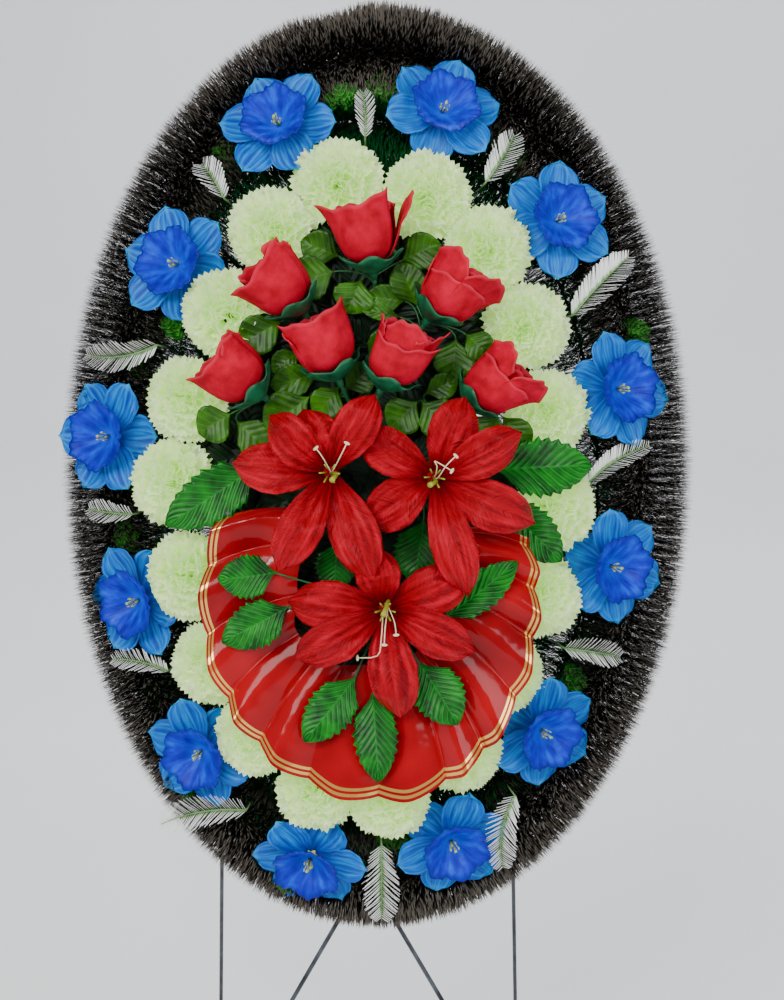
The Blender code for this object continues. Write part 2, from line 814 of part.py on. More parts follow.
def crossings(path, axis, value):
    """The two points where a closed path in the frame's plane crosses a straight bar."""
    found = []
    for before, after in zip(path, path[1:] + path[:1]):
        if (before[axis] - value) * (after[axis] - value) < 0:
            share = (value - before[axis]) / (after[axis] - before[axis])
            found.append(before.lerp(after, share))
    return found


def wire_frame():
    """Two ovals and three straight bars, welded where they cross."""
    bodies = []
    rims = []
    for oval, count in ((OUTER_OVAL, 24), (INNER_OVAL, 16)):
        path = [oval_point(oval, angle, 0) for angle in even_angles(oval, count)]
        bodies.append(tube(path, [WIRE_RADIUS] * count, 6, loop=True, turn=math.pi / 6))
        rims.append(path)
    for up in (TOP_BAR, BOTTOM_BAR):
        bodies.append(tube(crossings(rims[0], 2, up), [BAR_RADIUS] * 2, 6, turn=math.pi / 6))
    upright = crossings(rims[0], 0, STAND_AXIS)
    bodies.append(tube(upright, [UPRIGHT_RADIUS] * 2, 6, turn=math.pi / 6))
    return fuse(bodies, "MANIFOLD")


def leg(top, foot):
    """A straight round rod from a point on the frame's back to a foot cut level with the floor."""
    along = (foot - top).normalized()
    rod = tube([top, foot], [LEG_RADIUS] * 2, 8, face=Vector((0, 1, 0)))
    drop = to_world.to_3x3() @ along
    for vertex in rod.verts:
        if (vertex.co - foot).length < 3 * LEG_RADIUS:
            height = (to_world @ vertex.co).z
            vertex.co -= along * (height / drop.z)
    return rod


def on_floor(start, through):
    """Where the line through two points meets the floor, in the wreath's axes."""
    first = to_world @ start
    second = to_world @ through
    share = first.z / (first.z - second.z)
    return to_wreath @ first.lerp(second, share)


def build_stand():
    """Two crossed front legs in the wreath's plane and two rear legs that prop it."""
    behind = WIRE_TOP + GAP + LEG_RADIUS
    crossing = Vector((STAND_AXIS, behind, -OUTER_OVAL[3]))
    floor_up = -MIDDLE_HEIGHT / math.cos(LEAN)
    slope = FRONT_FOOT_SPREAD / (crossing.z - floor_up)
    top_up = BOTTOM_BAR + 8 * MM
    spread = slope * (top_up - crossing.z)
    for name, sign, step in (("front_leg_left", 1, 0.0), ("front_leg_right", -1, 2 * LEG_RADIUS + GAP)):
        top = Vector((STAND_AXIS + sign * spread, behind, top_up))
        cross = crossing + Vector((0, step, 0))
        finish(name, leg(top, on_floor(top, cross)), STEEL, 0.4, 1.0)
    front_feet = (to_world @ on_floor(crossing + Vector((0, 0, 0.1)), crossing)).y
    for name, sign in (("rear_leg_left", -1), ("rear_leg_right", 1)):
        tie = Vector((STAND_AXIS + sign * 0.150, behind + 0.3 * MM, TOP_BAR))
        foot = to_wreath @ Vector((STAND_AXIS + sign * REAR_FOOT_SPREAD, front_feet + STAND_DEPTH, 0))
        top = tie - (foot - tie).normalized() * 6 * MM
        finish(name, leg(top, foot), STEEL, 0.4, 1.0)


def build_daffodils():
    """A star of petals and a trumpet for each daffodil."""
    for k, (px, py, tilt_degrees, roll_degrees) in enumerate(DAFFODILS):
        tilt = math.radians(tilt_degrees)
        roll = math.radians(roll_degrees)
        middle = photo_point(px, py, DAFFODIL_HEIGHT)
        seat = seat_on_green(middle, outer_path)
        petals = daffodil_petals(middle, seat, tilt, roll)
        finish(f"daffodil_petals_{k + 1:02d}", petals, (0.01, 0.30, 0.75), 0.6)
        trumpet, _ = first_clear(
            lambda height: daffodil_corona(middle, tilt, roll, height),
            metres(0.4 * MM, 9 * MM, 0.2 * MM), {"petals": trees[f"daffodil_petals_{k + 1:02d}"]},
            f"daffodil_corona_{k + 1:02d}")
        finish(f"daffodil_corona_{k + 1:02d}", trumpet, (0.005, 0.05, 0.55), 0.55)


def build_carnations():
    """Four stretches of the ring of carnations, raised until they clear the daffodils."""
    for k in range(len(CARNATIONS)):
        name = f"carnations_{k + 1}"
        body, rise = first_clear(
            lambda height: carnation_group(k, height), metres(0, 40 * MM, 2 * MM),
            trees | cores, name)
        print(name, "raised", round(rise / MM, 1))
        finish(name, body, (0.72, 0.88, 0.55), 0.8)


def build_ribbon():
    """The fan, lowered until it lies on the carnations."""
    heights = metres(170 * MM, 80 * MM, 0.4 * MM)
    above = heights[0]
    for height in heights:
        trial = ribbon(height)
        touches = blockers(trial, trees)
        trial.free()
        if touches:
            break
        above = height
    print("ribbon at", round(above / MM, 1))
    finish("ribbon", ribbon(above), (0.60, 0.0, 0.01), 0.2)


def build_roses():
    """The buds, each raised until it lies on what is under it."""
    feet = []
    for k, (px, py, direction, length, low) in enumerate(ROSES):
        name = f"rose_{k + 1}"
        trial, proud = first_clear(
            lambda height: rose_with_calyx(px, py, direction, length, height),
            metres(low, low + 90 * MM, 2 * MM), trees | stars, name)
        trial.free()
        print(name, "proud", round(proud / MM, 1))
        foot = photo_point(px, py, proud)
        feet.append((foot, direction))
        stars[f"calyx {k + 1}"] = grown_tree(rose_calyx(foot, direction))
        finish(name, rose_bud(foot, direction, length), (0.55, 0.0, 0.02), 0.9)
    return feet


def with_body(body, extra):
    """Add a second body's faces to a first one, as one trial body."""
    mesh = bpy.data.meshes.new("trial")
    extra.to_mesh(mesh)
    extra.free()
    body.from_mesh(mesh)
    bpy.data.meshes.remove(mesh)
    return body


def leaf_at(leaf, twigs, shape, height):
    """A leaf at a height, on a stalk from the nearest of the twigs, if there are any."""
    px, py, tip_px, tip_py, width_px = leaf
    start = photo_point(px, py, height - 2 * MM)
    tip = photo_point(tip_px, tip_py, height)
    stem = [min(twigs, key=lambda point: (point - start).length)] if twigs else []
    if twigs and leaf in RIBBON_LEAVES:
        middle = Vector((RIBBON_MIDDLE[0], start.y, RIBBON_MIDDLE[1]))
        inside = middle + (start - middle).normalized() * (RIBBON_INSIDE - 16 * MM)
        stem = [inside - TOWARDS_VIEWER * 45 * MM, inside]
        stem.insert(0, min(twigs, key=lambda point: (point - stem[0]).length))
    return shape(stem, start, tip, width_px * HEAD_PIXEL / 2)


def build_leaves(leaves, twigs, shape, name, layers, lowest=LOWEST_LEAF):
    """Leaves with their stalks, each at the lowest height that clears everything."""
    bodies = []
    for k, leaf in enumerate(leaves):
        for height in metres(lowest, lowest + 110 * MM, 2 * MM):
            body = leaf_at(leaf, twigs, shape, height)
            bare = leaf_at(leaf, [], shape, height)
            found = blockers(body, trees) + blockers(bare, layers)
            if not found:
                break
        if found:
            print(f"{name} leaf {k + 1}: blocked by {found}")
        print(f"{name} leaf {k + 1} proud {height / MM:.0f}")
        layers[f"{name} leaf {k + 1}"] = grown_tree(bare)
        bodies.append(body)
    return bodies


def branch(root, bend, end, thick, name):
    """A bent branch and the points along it, from which leaves can grow."""
    path = bent_line(root, bend, end - (end - bend).normalized() * 6 * MM, 3) + [end]
    body = tube(path, [thick] * len(path), 4, face=Vector((0.6, 0, 0.8)))
    found = blockers(body, trees)
    if found:
        print(f"{name}: blocked by {found}")
    return body, path[1:]


def trunk(base_up, root):
    """The bunch's stem, from the frame's upright wire to its root."""
    base = Vector((STAND_AXIS, -(UPRIGHT_RADIUS * math.cos(math.pi / 6) + GAP), base_up))
    path = [base, base + TOWARDS_VIEWER * 20 * MM, root + TOWARDS_VIEWER * 4 * MM]
    return tube(path, [3.5 * MM] * 3, 6, face=Vector((1, 0, 0)))


def build_rose_greenery(feet):
    """The roses' bunch: a stem from the frame, a branch and a calyx for each bud, and leaves."""
    root = photo_point(*ROSE_ROOT, ROOT_HEIGHT)
    bodies = [trunk(root.z, root)]
    twigs = [root]
    for k, (foot, direction) in enumerate(feet):
        end = foot - rose_axis(direction) * 12 * MM
        bend = foot - rose_axis(direction) * 60 * MM - TOWARDS_VIEWER * 40 * MM
        body, points = branch(root, bend, end, 2.6 * MM, f"rose branch {k + 1}")
        bodies += [body, rose_calyx(foot, direction)]
        twigs += points
    bodies += build_leaves(ROSE_LEAVES, twigs, oval_leaf, "rose", {})
    finish("rose_greenery", fuse(bodies, "MANIFOLD"), LEAF_GREEN, 0.5)


def build_lily_greenery():
    """The lilies' bunch: a stem from the frame, a branch for each lily, and toothed leaves."""
    root = photo_point(*LILY_ROOT, ROOT_HEIGHT)
    bodies = [trunk(root.z, root)]
    twigs = [root]
    for k, (px, py, _) in enumerate(LILIES):
        end = photo_point(px, py, LILY_STEM_TOP)
        bend = Vector((end.x, root.y, end.z))
        body, points = branch(root, bend, end, 3 * MM, f"lily branch {k + 1}")
        bodies.append(body)
        twigs += points[:-1]
    layers = {}
    bodies += build_leaves(LILY_LEAVES, twigs, toothed_leaf, "lily", layers)
    bodies += build_leaves(RIBBON_LEAVES, twigs, toothed_leaf, "ribbon", layers, LOWEST_RIBBON_LEAF)
    finish("lily_greenery", fuse(bodies), LEAF_GREEN, 0.45)


def build_lilies():
    """The three lilies, each raised until its petals lie on what is under them."""
    for k, (px, py, petals) in enumerate(LILIES):
        name = f"lily_{k + 1}"
        stem_top = photo_point(px, py, LILY_STEM_TOP + GAP + 0.1 * MM)

        def flower(height, px=px, py=py, petals=petals, stem_top=stem_top):
            return lily(photo_point(px, py, height), stem_top, petals)

        body, height = first_clear(flower, metres(LILY_HEIGHT, LILY_HEIGHT + 70 * MM, 3 * MM),
                                   trees, name)
        print(name, "proud", round(height / MM, 1))
        finish(name, body, (0.55, 0.0, 0.04), 0.4)


def build_ferns():
    """The white-barbed fronds between the daffodils."""
    for k, (px, py, tip_px, tip_py) in enumerate(FERNS):
        name = f"fern_{k + 1:02d}"

        def frond(height, px=px, py=py, tip_px=tip_px, tip_py=tip_py):
            return fern(px, py, tip_px, tip_py, height)

        body, height = first_clear(frond, metres(56 * MM, 120 * MM, 3 * MM),
                                   trees | cores, name)
        print(name, "proud", round(height / MM, 1))
        finish(name, body, (0.55, 0.68, 0.55), 0.7)


def build_green_garland():
    """The green garland with its short needles and its small lobed leaves."""
    bodies = []
    for k, (px, py) in enumerate(SPRIGS):

        def sprig(height, px=px, py=py):
            tip = photo_point(px, py, height)
            start = seat_on_green(tip, outer_path) + Vector((0, 2.5 * MM, 0))
            spine = bent_line(start, start.lerp(tip, 0.4) + TOWARDS_VIEWER * 10 * MM, tip, 4)
            return blade(spine, [1.5 * MM, 9 * MM, 6 * MM, 13 * MM, 1.5 * MM], 0.15, LEAF_THICKNESS)

        body, height = first_clear(sprig, metres(30 * MM, 100 * MM, 3 * MM),
                                   trees | {"black core": cores["black core"]}, f"sprig {k + 1}")
        bodies.append(body)

    def needle(face):
        """Short needles on the top and the sides, none underneath."""
        normal = face.normal
        if normal.y > 0.5 or len(face.verts) != 3 or rng.random() < 0.5:
            return normal, 0.0
        jitter = Vector((rng.uniform(-1, 1), rng.uniform(-0.4, 0), rng.uniform(-1, 1)))
        direction = (normal + jitter * 0.5 + TOWARDS_VIEWER * 0.25).normalized()
        return direction, rng.uniform(18, 30) * MM

    placed = list(grown_trees.values()) + [cores["black core"]]
    loops = [spiked(green_loop(path), needle, placed) for path in (outer_path, inner_path)]
    for k in range(0, len(inner_path), 9):
        inside = inner_path[k]
        outside = nearest_on(outer_path, inside)
        bodies.append(stalk(inside, outside, 3 * MM, 3 * MM))
    finish("green_garland", fuse(loops + bodies), LEAF_GREEN, 0.8)


def build_black_garland():
    """The black garland of long needles round the rim."""
    notch = photo_point(335, 35, 0)

    def needle(face):
        """Long needles that lean out from the oval, shorter where the garland's ends meet."""
        normal = face.normal
        if normal.y > 0.5:
            return normal, 0.0
        foot = face.calc_center_median()
        jitter = Vector((rng.uniform(-1, 1), rng.uniform(-0.6, 0.2), rng.uniform(-1, 1)))
        out = outward(OUTER_OVAL, foot)
        direction = (normal + jitter * 0.45 + out * 0.35).normalized()
        length = NEEDLE * rng.uniform(0.72, 1.0)
        if (foot - notch).length < 0.07:
            length *= 0.6
        lowest = (foot.y + 3 * MM) / max(direction.y, 1e-6) if direction.y > 0 else length
        return direction, min(length, abs(lowest)) if direction.y > 0 else length

    core = spiked(black_core(), needle, list(grown_trees.values()))
    finish("black_garland", core, (0.004, 0.004, 0.005), 0.45)


def stand_on_origin():
    """Move the whole wreath so that the middle of its box is over the origin."""
    bpy.context.view_layer.update()
    points = []
    for piece in bpy.data.objects:
        if piece.type == "MESH":
            points += [piece.matrix_world @ vertex.co for vertex in piece.data.vertices]
    low_x = min(point.x for point in points)
    high_x = max(point.x for point in points)
    low_y = min(point.y for point in points)
    high_y = max(point.y for point in points)
    standing.location = (-(low_x + high_x) / 2, -(low_y + high_y) / 2, 0)
    top = max(point.z for point in points)
    print("size", round(high_x - low_x, 4), round(high_y - low_y, 4), round(top, 4))
    print("shift", tuple(round(value, 5) for value in standing.location))


cores = {
    "outer green loop": grown_tree(green_loop(outer_path), 0.0),
    "inner green loop": grown_tree(green_loop(inner_path), 0.0),
    "black core": grown_tree(black_core(), 0.0),
}
stars = {}

finish("wire_frame", wire_frame(), STEEL, 0.4, 1.0)
build_stand()
build_daffodils()
build_carnations()
build_ribbon()
rose_feet = build_roses()
build_rose_greenery(rose_feet)
build_lily_greenery()
build_lilies()
build_ferns()
build_green_garland()
build_black_garland()
stand_on_origin()
total = sum(len(piece.data.polygons) for piece in bpy.data.objects if piece.type == "MESH")
print("faces", total)
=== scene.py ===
# %% [markdown]
# # A standing funeral wreath
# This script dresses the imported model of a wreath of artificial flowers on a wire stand. The
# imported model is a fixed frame: it says where each flower, leaf and wire is. Every finer piece
# here stands in the place of one of its nodes. All lengths are in metres, Z is up and the
# flowers face -Y.

# %% Load the frame
import math
import random

import bmesh
import bpy
import numpy as np
from mathutils import Matrix, Vector, noise
from mathutils.bvhtree import BVHTree


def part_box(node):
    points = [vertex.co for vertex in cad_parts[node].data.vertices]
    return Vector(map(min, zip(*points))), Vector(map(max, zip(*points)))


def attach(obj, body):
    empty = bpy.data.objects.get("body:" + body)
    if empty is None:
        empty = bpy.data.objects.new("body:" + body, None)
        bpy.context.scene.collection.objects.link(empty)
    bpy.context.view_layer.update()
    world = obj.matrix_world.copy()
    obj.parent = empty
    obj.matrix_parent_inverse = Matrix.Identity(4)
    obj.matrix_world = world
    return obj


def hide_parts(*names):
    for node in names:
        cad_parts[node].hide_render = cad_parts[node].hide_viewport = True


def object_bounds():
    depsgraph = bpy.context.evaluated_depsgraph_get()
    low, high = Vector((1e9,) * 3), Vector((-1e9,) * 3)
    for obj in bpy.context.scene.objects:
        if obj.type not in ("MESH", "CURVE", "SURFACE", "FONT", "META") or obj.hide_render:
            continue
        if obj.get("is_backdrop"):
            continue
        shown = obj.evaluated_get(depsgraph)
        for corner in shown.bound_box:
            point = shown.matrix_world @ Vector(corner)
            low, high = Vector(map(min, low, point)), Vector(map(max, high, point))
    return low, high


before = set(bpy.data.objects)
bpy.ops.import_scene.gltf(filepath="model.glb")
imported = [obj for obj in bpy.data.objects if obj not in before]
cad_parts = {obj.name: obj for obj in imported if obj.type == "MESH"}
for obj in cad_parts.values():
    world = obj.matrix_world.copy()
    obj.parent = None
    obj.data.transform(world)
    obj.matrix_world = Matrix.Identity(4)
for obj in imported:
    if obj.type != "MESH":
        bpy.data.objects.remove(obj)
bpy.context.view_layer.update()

print("frame nodes:", len(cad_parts))

# %% [markdown]
# ## Where the wreath is
# The wreath leans back on its stand, so it is simplest to model in its own axes: x to the
# right, z up along the oval and y away from the viewer. A thing that stands proud of the wire
# frame has a negative y. The middle of the wire frame's box is the middle of the oval, and one
# matrix takes a finished mesh from these axes to the row's frame. The flowers' places are
# pixels of the photograph on a plane that stands proud by a known height.

# %% The wreath's own axes
MM = 0.001
LEAN = math.radians(12)
TOWARDS_VIEWER = Vector((0, -1, 0))
frame_low, frame_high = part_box("wire_frame")
WREATH = Matrix.Translation((frame_low + frame_high) / 2) @ Matrix.Rotation(-LEAN, 4, "X")

PIXEL = 0.001087
MIDDLE_PX = 378
MIDDLE_PY = 470
VIEW_DISTANCE = 2.3
VIEW_SLANT = 0.052
HEAD_PIXEL = 0.00105
LILY_PIXEL = 0.00103
OUTER_OVAL = (0.0, 0.0, 0.285, 0.445)
INNER_OVAL = (-0.014, -0.020, 0.195, 0.322)
DAFFODIL_OVAL = (-0.014, -0.015, 0.235, 0.365)


def photo_point(px, py, proud):
    """The place, in the wreath's axes, of a pixel on something that stands proud of the frame."""
    pixel = PIXEL * (1 - proud / VIEW_DISTANCE)
    across = (px - MIDDLE_PX) * pixel
    up = (MIDDLE_PY - py) * pixel + VIEW_SLANT * proud
    return Vector((across, -proud, up))


def oval_point(oval, angle, proud):
    """The point of an oval at an angle, standing proud of the frame."""
    across, up, half_width, half_height = oval
    return Vector((across + half_width * math.cos(angle), -proud, up + half_height * math.sin(angle)))


def outward(oval, point):
    """The direction square to an oval at a point, in the wreath's plane."""
    across, up, half_width, half_height = oval
    slope = Vector(((point.x - across) / half_width**2, 0, (point.z - up) / half_height**2))
    return slope.normalized()


def flower_place(middle, tilt, bearing, roll):
    """The matrix of a flower that faces the viewer, tilted towards a direction in the plane."""
    facing = TOWARDS_VIEWER * math.cos(tilt) + bearing * math.sin(tilt)
    turned = facing.to_track_quat("Z", "Y").to_matrix().to_4x4()
    return Matrix.Translation(middle) @ turned @ Matrix.Rotation(roll, 4, "Z")


print("middle of the oval:", [round(value, 4) for value in WREATH.translation])

# %% [markdown]
# ## The camera, the backdrop and the light
# The photograph looks at the wreath almost square on, from about three degrees above the
# direction that its face looks in, so the camera is a little above the middle and looks down.
# The backdrop is one pale sheet that is floor in front and wall behind, with a wide bend in
# between, so that no line crosses the picture. The wall stands so far back that the wreath can
# be looked at from behind too. Broad lamps give the soft light of a studio, and a smaller one
# gives the satin and the ribbon their bright streaks.

# %% Camera
VIEW_PITCH = math.radians(15)
IMAGE_WIDTH = 784
IMAGE_HEIGHT = 1000
SENSOR = 36

view_direction = Vector((0, math.cos(VIEW_PITCH), -math.sin(VIEW_PITCH)))
view_up = Vector((0, math.sin(VIEW_PITCH), math.cos(VIEW_PITCH)))
eye = WREATH.translation - view_direction * VIEW_DISTANCE
aim = (WREATH.translation + Vector((1, 0, 0)) * (IMAGE_WIDTH / 2 - MIDDLE_PX) * PIXEL
       - view_up * (IMAGE_HEIGHT / 2 - MIDDLE_PY) * PIXEL)
lens = bpy.data.cameras.new("camera")
lens.sensor_width = SENSOR
lens.lens = SENSOR * VIEW_DISTANCE / (IMAGE_HEIGHT * PIXEL)
lens.clip_start = 0.1
camera = bpy.data.objects.new("camera", lens)
camera.location = eye
camera.rotation_mode = "QUATERNION"
camera.rotation_quaternion = (aim - eye).to_track_quat("-Z", "Y")
bpy.context.scene.collection.objects.link(camera)
bpy.context.scene.camera = camera
print("lens:", round(lens.lens, 1), "mm")


# %% Lamps
def lamp(name, place, size, power, colour, target=WREATH.translation):
    """A square area lamp that looks at the middle of the wreath or at another point."""
    light = bpy.data.lights.new(name, "AREA")
    light.size = size
    light.energy = power
    light.color = colour
    holder = bpy.data.objects.new(name, light)
    holder.location = place
    holder.rotation_mode = "QUATERNION"
    holder.rotation_quaternion = (target - holder.location).to_track_quat("-Z", "Y")
    bpy.context.scene.collection.objects.link(holder)


lamp("broad_left", Vector((-1.7, -2.5, 2.5)), 1.6, 74, (1.0, 0.985, 0.96))
lamp("broad_right", Vector((2.0, -2.3, 1.9)), 1.6, 44, (0.96, 0.98, 1.0))
lamp("streak_maker", Vector((-0.4, -2.6, 2.6)), 0.45, 26, (1.0, 1.0, 1.0))
lamp("wall_wash", Vector((0.3, 1.4, 3.7)), 1.8, 105, (1.0, 1.0, 1.0), Vector((0.3, 4.4, 0.9)))
lamp("behind", Vector((0.6, 1.3, 2.9)), 1.6, 30, (1.0, 1.0, 1.0))


# %% [markdown]
# ## Small helpers
# A material is a tree of nodes, and one function adds a node with its settings and links.
# Colours are written as people see them, in sRGB hex, and turned to the linear values that
# light is reckoned in. Most pieces here are thin sheets, so one helper bends a grid by a
# formula: it gives petals, leaves, the ribbon and, with its sides closed, tubes and trumpets.

# %% Colours and nodes
def paint(hex_colour):
    """An sRGB hex colour as linear red, green, blue and alpha."""
    channels = [int(hex_colour[k:k + 2], 16) / 255 for k in (1, 3, 5)]
    linear = [value / 12.92 if value <= 0.04045 else ((value + 0.055) / 1.055) ** 2.4 for value in channels]
    return (*linear, 1.0)


def add(tree, kind, inputs=None, stops=None, **settings):
    """Add a node: its settings, its input values or links, and the stops of a colour ramp."""
    node = tree.nodes.new(kind)
    for key, value in settings.items():
        setattr(node, key, value)
    for key, value in (inputs or {}).items():
        if isinstance(value, bpy.types.NodeSocket):
            tree.links.new(value, node.inputs[key])
        else:
            node.inputs[key].default_value = value
    if stops:
        ramp = node.color_ramp.elements
        while len(ramp) < len(stops):
            ramp.new(0.5)
        for element, (position, colour) in zip(ramp, stops):
            element.position = position
            element.color = colour
    return node


def new_material(name):
    """A material with its Principled shader, which the next lines fill in."""
    material = bpy.data.materials.new(name)
    material.use_nodes = True
    tree = material.node_tree
    return material, tree, tree.nodes["Principled BSDF"]


def link(tree, output, shader, socket):
    """Join an output to a socket of the shader."""
    tree.links.new(output, shader.inputs[socket])


def object_noise(tree, scale, detail=2.0):
    """Noise in a piece's own axes."""
    place = add(tree, "ShaderNodeTexCoord")
    return add(tree, "ShaderNodeTexNoise", {"Vector": place.outputs["Object"], "Scale": scale,
                                            "Detail": detail})


def uv_parts(tree):
    """The two directions of a piece's UV map, one by one."""
    uv = add(tree, "ShaderNodeUVMap", uv_map="UVMap")
    return add(tree, "ShaderNodeSeparateXYZ", {"Vector": uv.outputs["UV"]})


def bump(tree, shader, height, strength, distance):
    """Relief of a pattern that is too fine for the mesh."""
    relief = add(tree, "ShaderNodeBump", {"Height": height, "Strength": strength, "Distance": distance})
    link(tree, relief.outputs["Normal"], shader, "Normal")


def mottled(name, scale, dark, light, roughness, detail=2.0):
    """A plain finish whose tone drifts between two colours."""
    material, tree, shader = new_material(name)
    drift = object_noise(tree, scale, detail)
    tone = add(tree, "ShaderNodeValToRGB", {"Fac": drift.outputs["Fac"]},
               stops=[(0.3, paint(dark)), (0.7, paint(light))])
    link(tree, tone.outputs["Color"], shader, "Base Color")
    shader.inputs["Roughness"].default_value = roughness
    return material


# %% Backdrop
def bent_grid(columns, rows, surface, thickness=0.0, closed=False):
    """A grid bent by a formula of the share across (-1 to 1) and the share along (0 to 1)."""
    body = bmesh.new()
    body.loops.layers.uv.new("UVMap")
    bmesh.ops.create_grid(body, x_segments=columns, y_segments=rows, size=1, calc_uvs=True)
    for vertex in body.verts:
        vertex.co = surface(vertex.co.x, (vertex.co.y + 1) / 2)
    if closed:
        bmesh.ops.remove_doubles(body, verts=body.verts, dist=0.02 * MM)
    if thickness:
        bmesh.ops.recalc_face_normals(body, faces=body.faces)
        drawn = bmesh.ops.extrude_face_region(body, geom=body.faces[:], use_keep_orig=True)
        lining = [part for part in drawn["geom"] if isinstance(part, bmesh.types.BMVert)]
        body.normal_update()
        inwards = [vertex.normal * thickness for vertex in lining]
        for vertex, step in zip(lining, inwards):
            vertex.co -= step
    bmesh.ops.recalc_face_normals(body, faces=body.faces)
    return body


def as_mesh(body, name):
    """The finished mesh of a body, shaded smooth."""
    mesh = bpy.data.meshes.new(name)
    body.to_mesh(mesh)
    body.free()
    mesh.polygons.foreach_set("use_smooth", [True] * len(mesh.polygons))
    return mesh


SWEEP = 1.6
WALL_AT = 4.8
FLOOR_RUN = 10.5
WALL_RUN = 2.4
BACKDROP_HALF_WIDTH = 7


def backdrop_point(across, along):
    """Flat floor, then a quarter circle, then an upright wall."""
    bend = SWEEP * math.pi / 2
    run = along * (FLOOR_RUN + bend + WALL_RUN)
    side = across * BACKDROP_HALF_WIDTH
    if run < FLOOR_RUN:
        return Vector((side, WALL_AT - SWEEP - FLOOR_RUN + run, 0))
    if run < FLOOR_RUN + bend:
        angle = (run - FLOOR_RUN) / SWEEP
        return Vector((side, WALL_AT - SWEEP + SWEEP * math.sin(angle), SWEEP - SWEEP * math.cos(angle)))
    return Vector((side, WALL_AT, SWEEP + run - FLOOR_RUN - bend))


paper = mottled("matte backdrop paper", 0.9, "#EDEEF0", "#F4F5F6", 0.9)
backdrop = bpy.data.objects.new("backdrop", as_mesh(bent_grid(2, 60, backdrop_point), "backdrop"))
backdrop.data.materials.append(paper)
bpy.context.scene.collection.objects.link(backdrop)
backdrop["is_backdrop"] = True

world = bpy.data.worlds.new("studio")
bpy.context.scene.world = world
world.use_nodes = True
world.node_tree.nodes["Background"].inputs["Color"].default_value = paint("#E6E9F0")
world.node_tree.nodes["Background"].inputs["Strength"].default_value = 0.5


# %% [markdown]
# ## Putting pieces into the scene, and copies of small shapes
# A piece is modelled in the wreath's axes, turned into the row's frame as a mesh, and rides on
# the wreath. Needles, petals and barbs come in hundreds or thousands of copies of a few small
# shapes. Joining that many objects is slow, so one function writes the copies of a shape into
# one mesh. It also gives each copy a shade of its own, which the materials read to make
# neighbours differ.

# %% Pieces and copies
def show(mesh, name, material, slot, *nodes):
    """Put a mesh of the wreath's axes into the scene as a piece that stands for some nodes."""
    mesh.transform(WREATH)
    mesh.materials.append(material)
    piece = bpy.data.objects.new(name, mesh)
    bpy.context.scene.collection.objects.link(piece)
    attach(piece, "root")
    if nodes:
        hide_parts(*nodes)
    triangles = sum(len(face.vertices) - 2 for face in mesh.polygons)
    print(f"{name}: {triangles} triangles")
    return piece


def copies(shapes, places, name, rng):
    """One mesh with a copy of a small mesh at each place. Each place is (which shape, matrix)."""
    points, corners, starts, uvs, shades = [], [], [], [], []
    point_count = 0
    corner_count = 0
    for which, shape in enumerate(shapes):
        matrices = np.array([matrix for index, matrix in places if index == which])
        if len(matrices) == 0:
            continue
        own = np.empty(len(shape.vertices) * 3)
        shape.vertices.foreach_get("co", own)
        loops = np.empty(len(shape.loops), int)
        shape.loops.foreach_get("vertex_index", loops)
        first = np.empty(len(shape.polygons), int)
        shape.polygons.foreach_get("loop_start", first)
        uv = np.empty(len(shape.loops) * 2)
        shape.uv_layers[0].uv.foreach_get("vector", uv)
        moved = np.einsum("mij,nj->mni", matrices[:, :3, :3], own.reshape(-1, 3)) + matrices[:, None, :3, 3]
        number = np.arange(len(matrices))[:, None]
        points.append(moved.reshape(-1, 3))
        corners.append((loops[None] + number * len(shape.vertices) + point_count).ravel())
        starts.append((first[None] + number * len(loops) + corner_count).ravel())
        uvs.append(np.tile(uv, len(matrices)))
        shades.append(np.repeat([rng.random() for _ in matrices], len(shape.vertices)))
        point_count += len(shape.vertices) * len(matrices)
        corner_count += len(loops) * len(matrices)
    mesh = bpy.data.meshes.new(name)
    mesh.vertices.add(point_count)
    mesh.vertices.foreach_set("co", np.concatenate(points).ravel())
    mesh.loops.add(corner_count)
    mesh.loops.foreach_set("vertex_index", np.concatenate(corners).astype(np.int32))
    mesh.polygons.add(sum(len(part) for part in starts))
    mesh.polygons.foreach_set("loop_start", np.concatenate(starts).astype(np.int32))
    mesh.uv_layers.new(name="UVMap").uv.foreach_set("vector", np.concatenate(uvs))
    mesh.attributes.new("shade", "FLOAT", "POINT").data.foreach_set("value", np.concatenate(shades))
    mesh.update(calc_edges=True)
    mesh.polygons.foreach_set("use_smooth", [True] * len(mesh.polygons))
    return mesh


def pointed_along(foot, direction, length, width=1.0):
    """The matrix that lays a shape with unit height along a direction from its foot."""
    turned = direction.to_track_quat("Z", "Y").to_matrix().to_4x4()
    return Matrix.Translation(foot) @ turned @ Matrix.Diagonal((width, width, length, 1))


def rod(path, radii, sides=8):
    """A round rod through the points of a path, closed at both ends."""
    tangents = []
    for k in range(len(path)):
        before = path[max(k - 1, 0)]
        after = path[min(k + 1, len(path) - 1)]
        tangents.append((after - before).normalized())
    helper = Vector((0, 0, 1)) if abs(tangents[0].z) < 0.9 else Vector((1, 0, 0))
    side = tangents[0].cross(helper).normalized()
    frames = []
    for k, tangent in enumerate(tangents):
        if k:
            side = tangents[k - 1].rotation_difference(tangent) @ side
        frames.append((side.copy(), tangent.cross(side)))

    def surface(across, along):
        k = round(along * (len(path) - 1))
        angle = math.pi * across
        first, second = frames[k]
        return path[k] + (first * math.cos(angle) + second * math.sin(angle)) * radii[k]

    body = bent_grid(sides, len(path) - 1, surface, closed=True)
    bmesh.ops.holes_fill(body, edges=[edge for edge in body.edges if edge.is_boundary])
    bmesh.ops.recalc_face_normals(body, faces=body.faces)
    return body


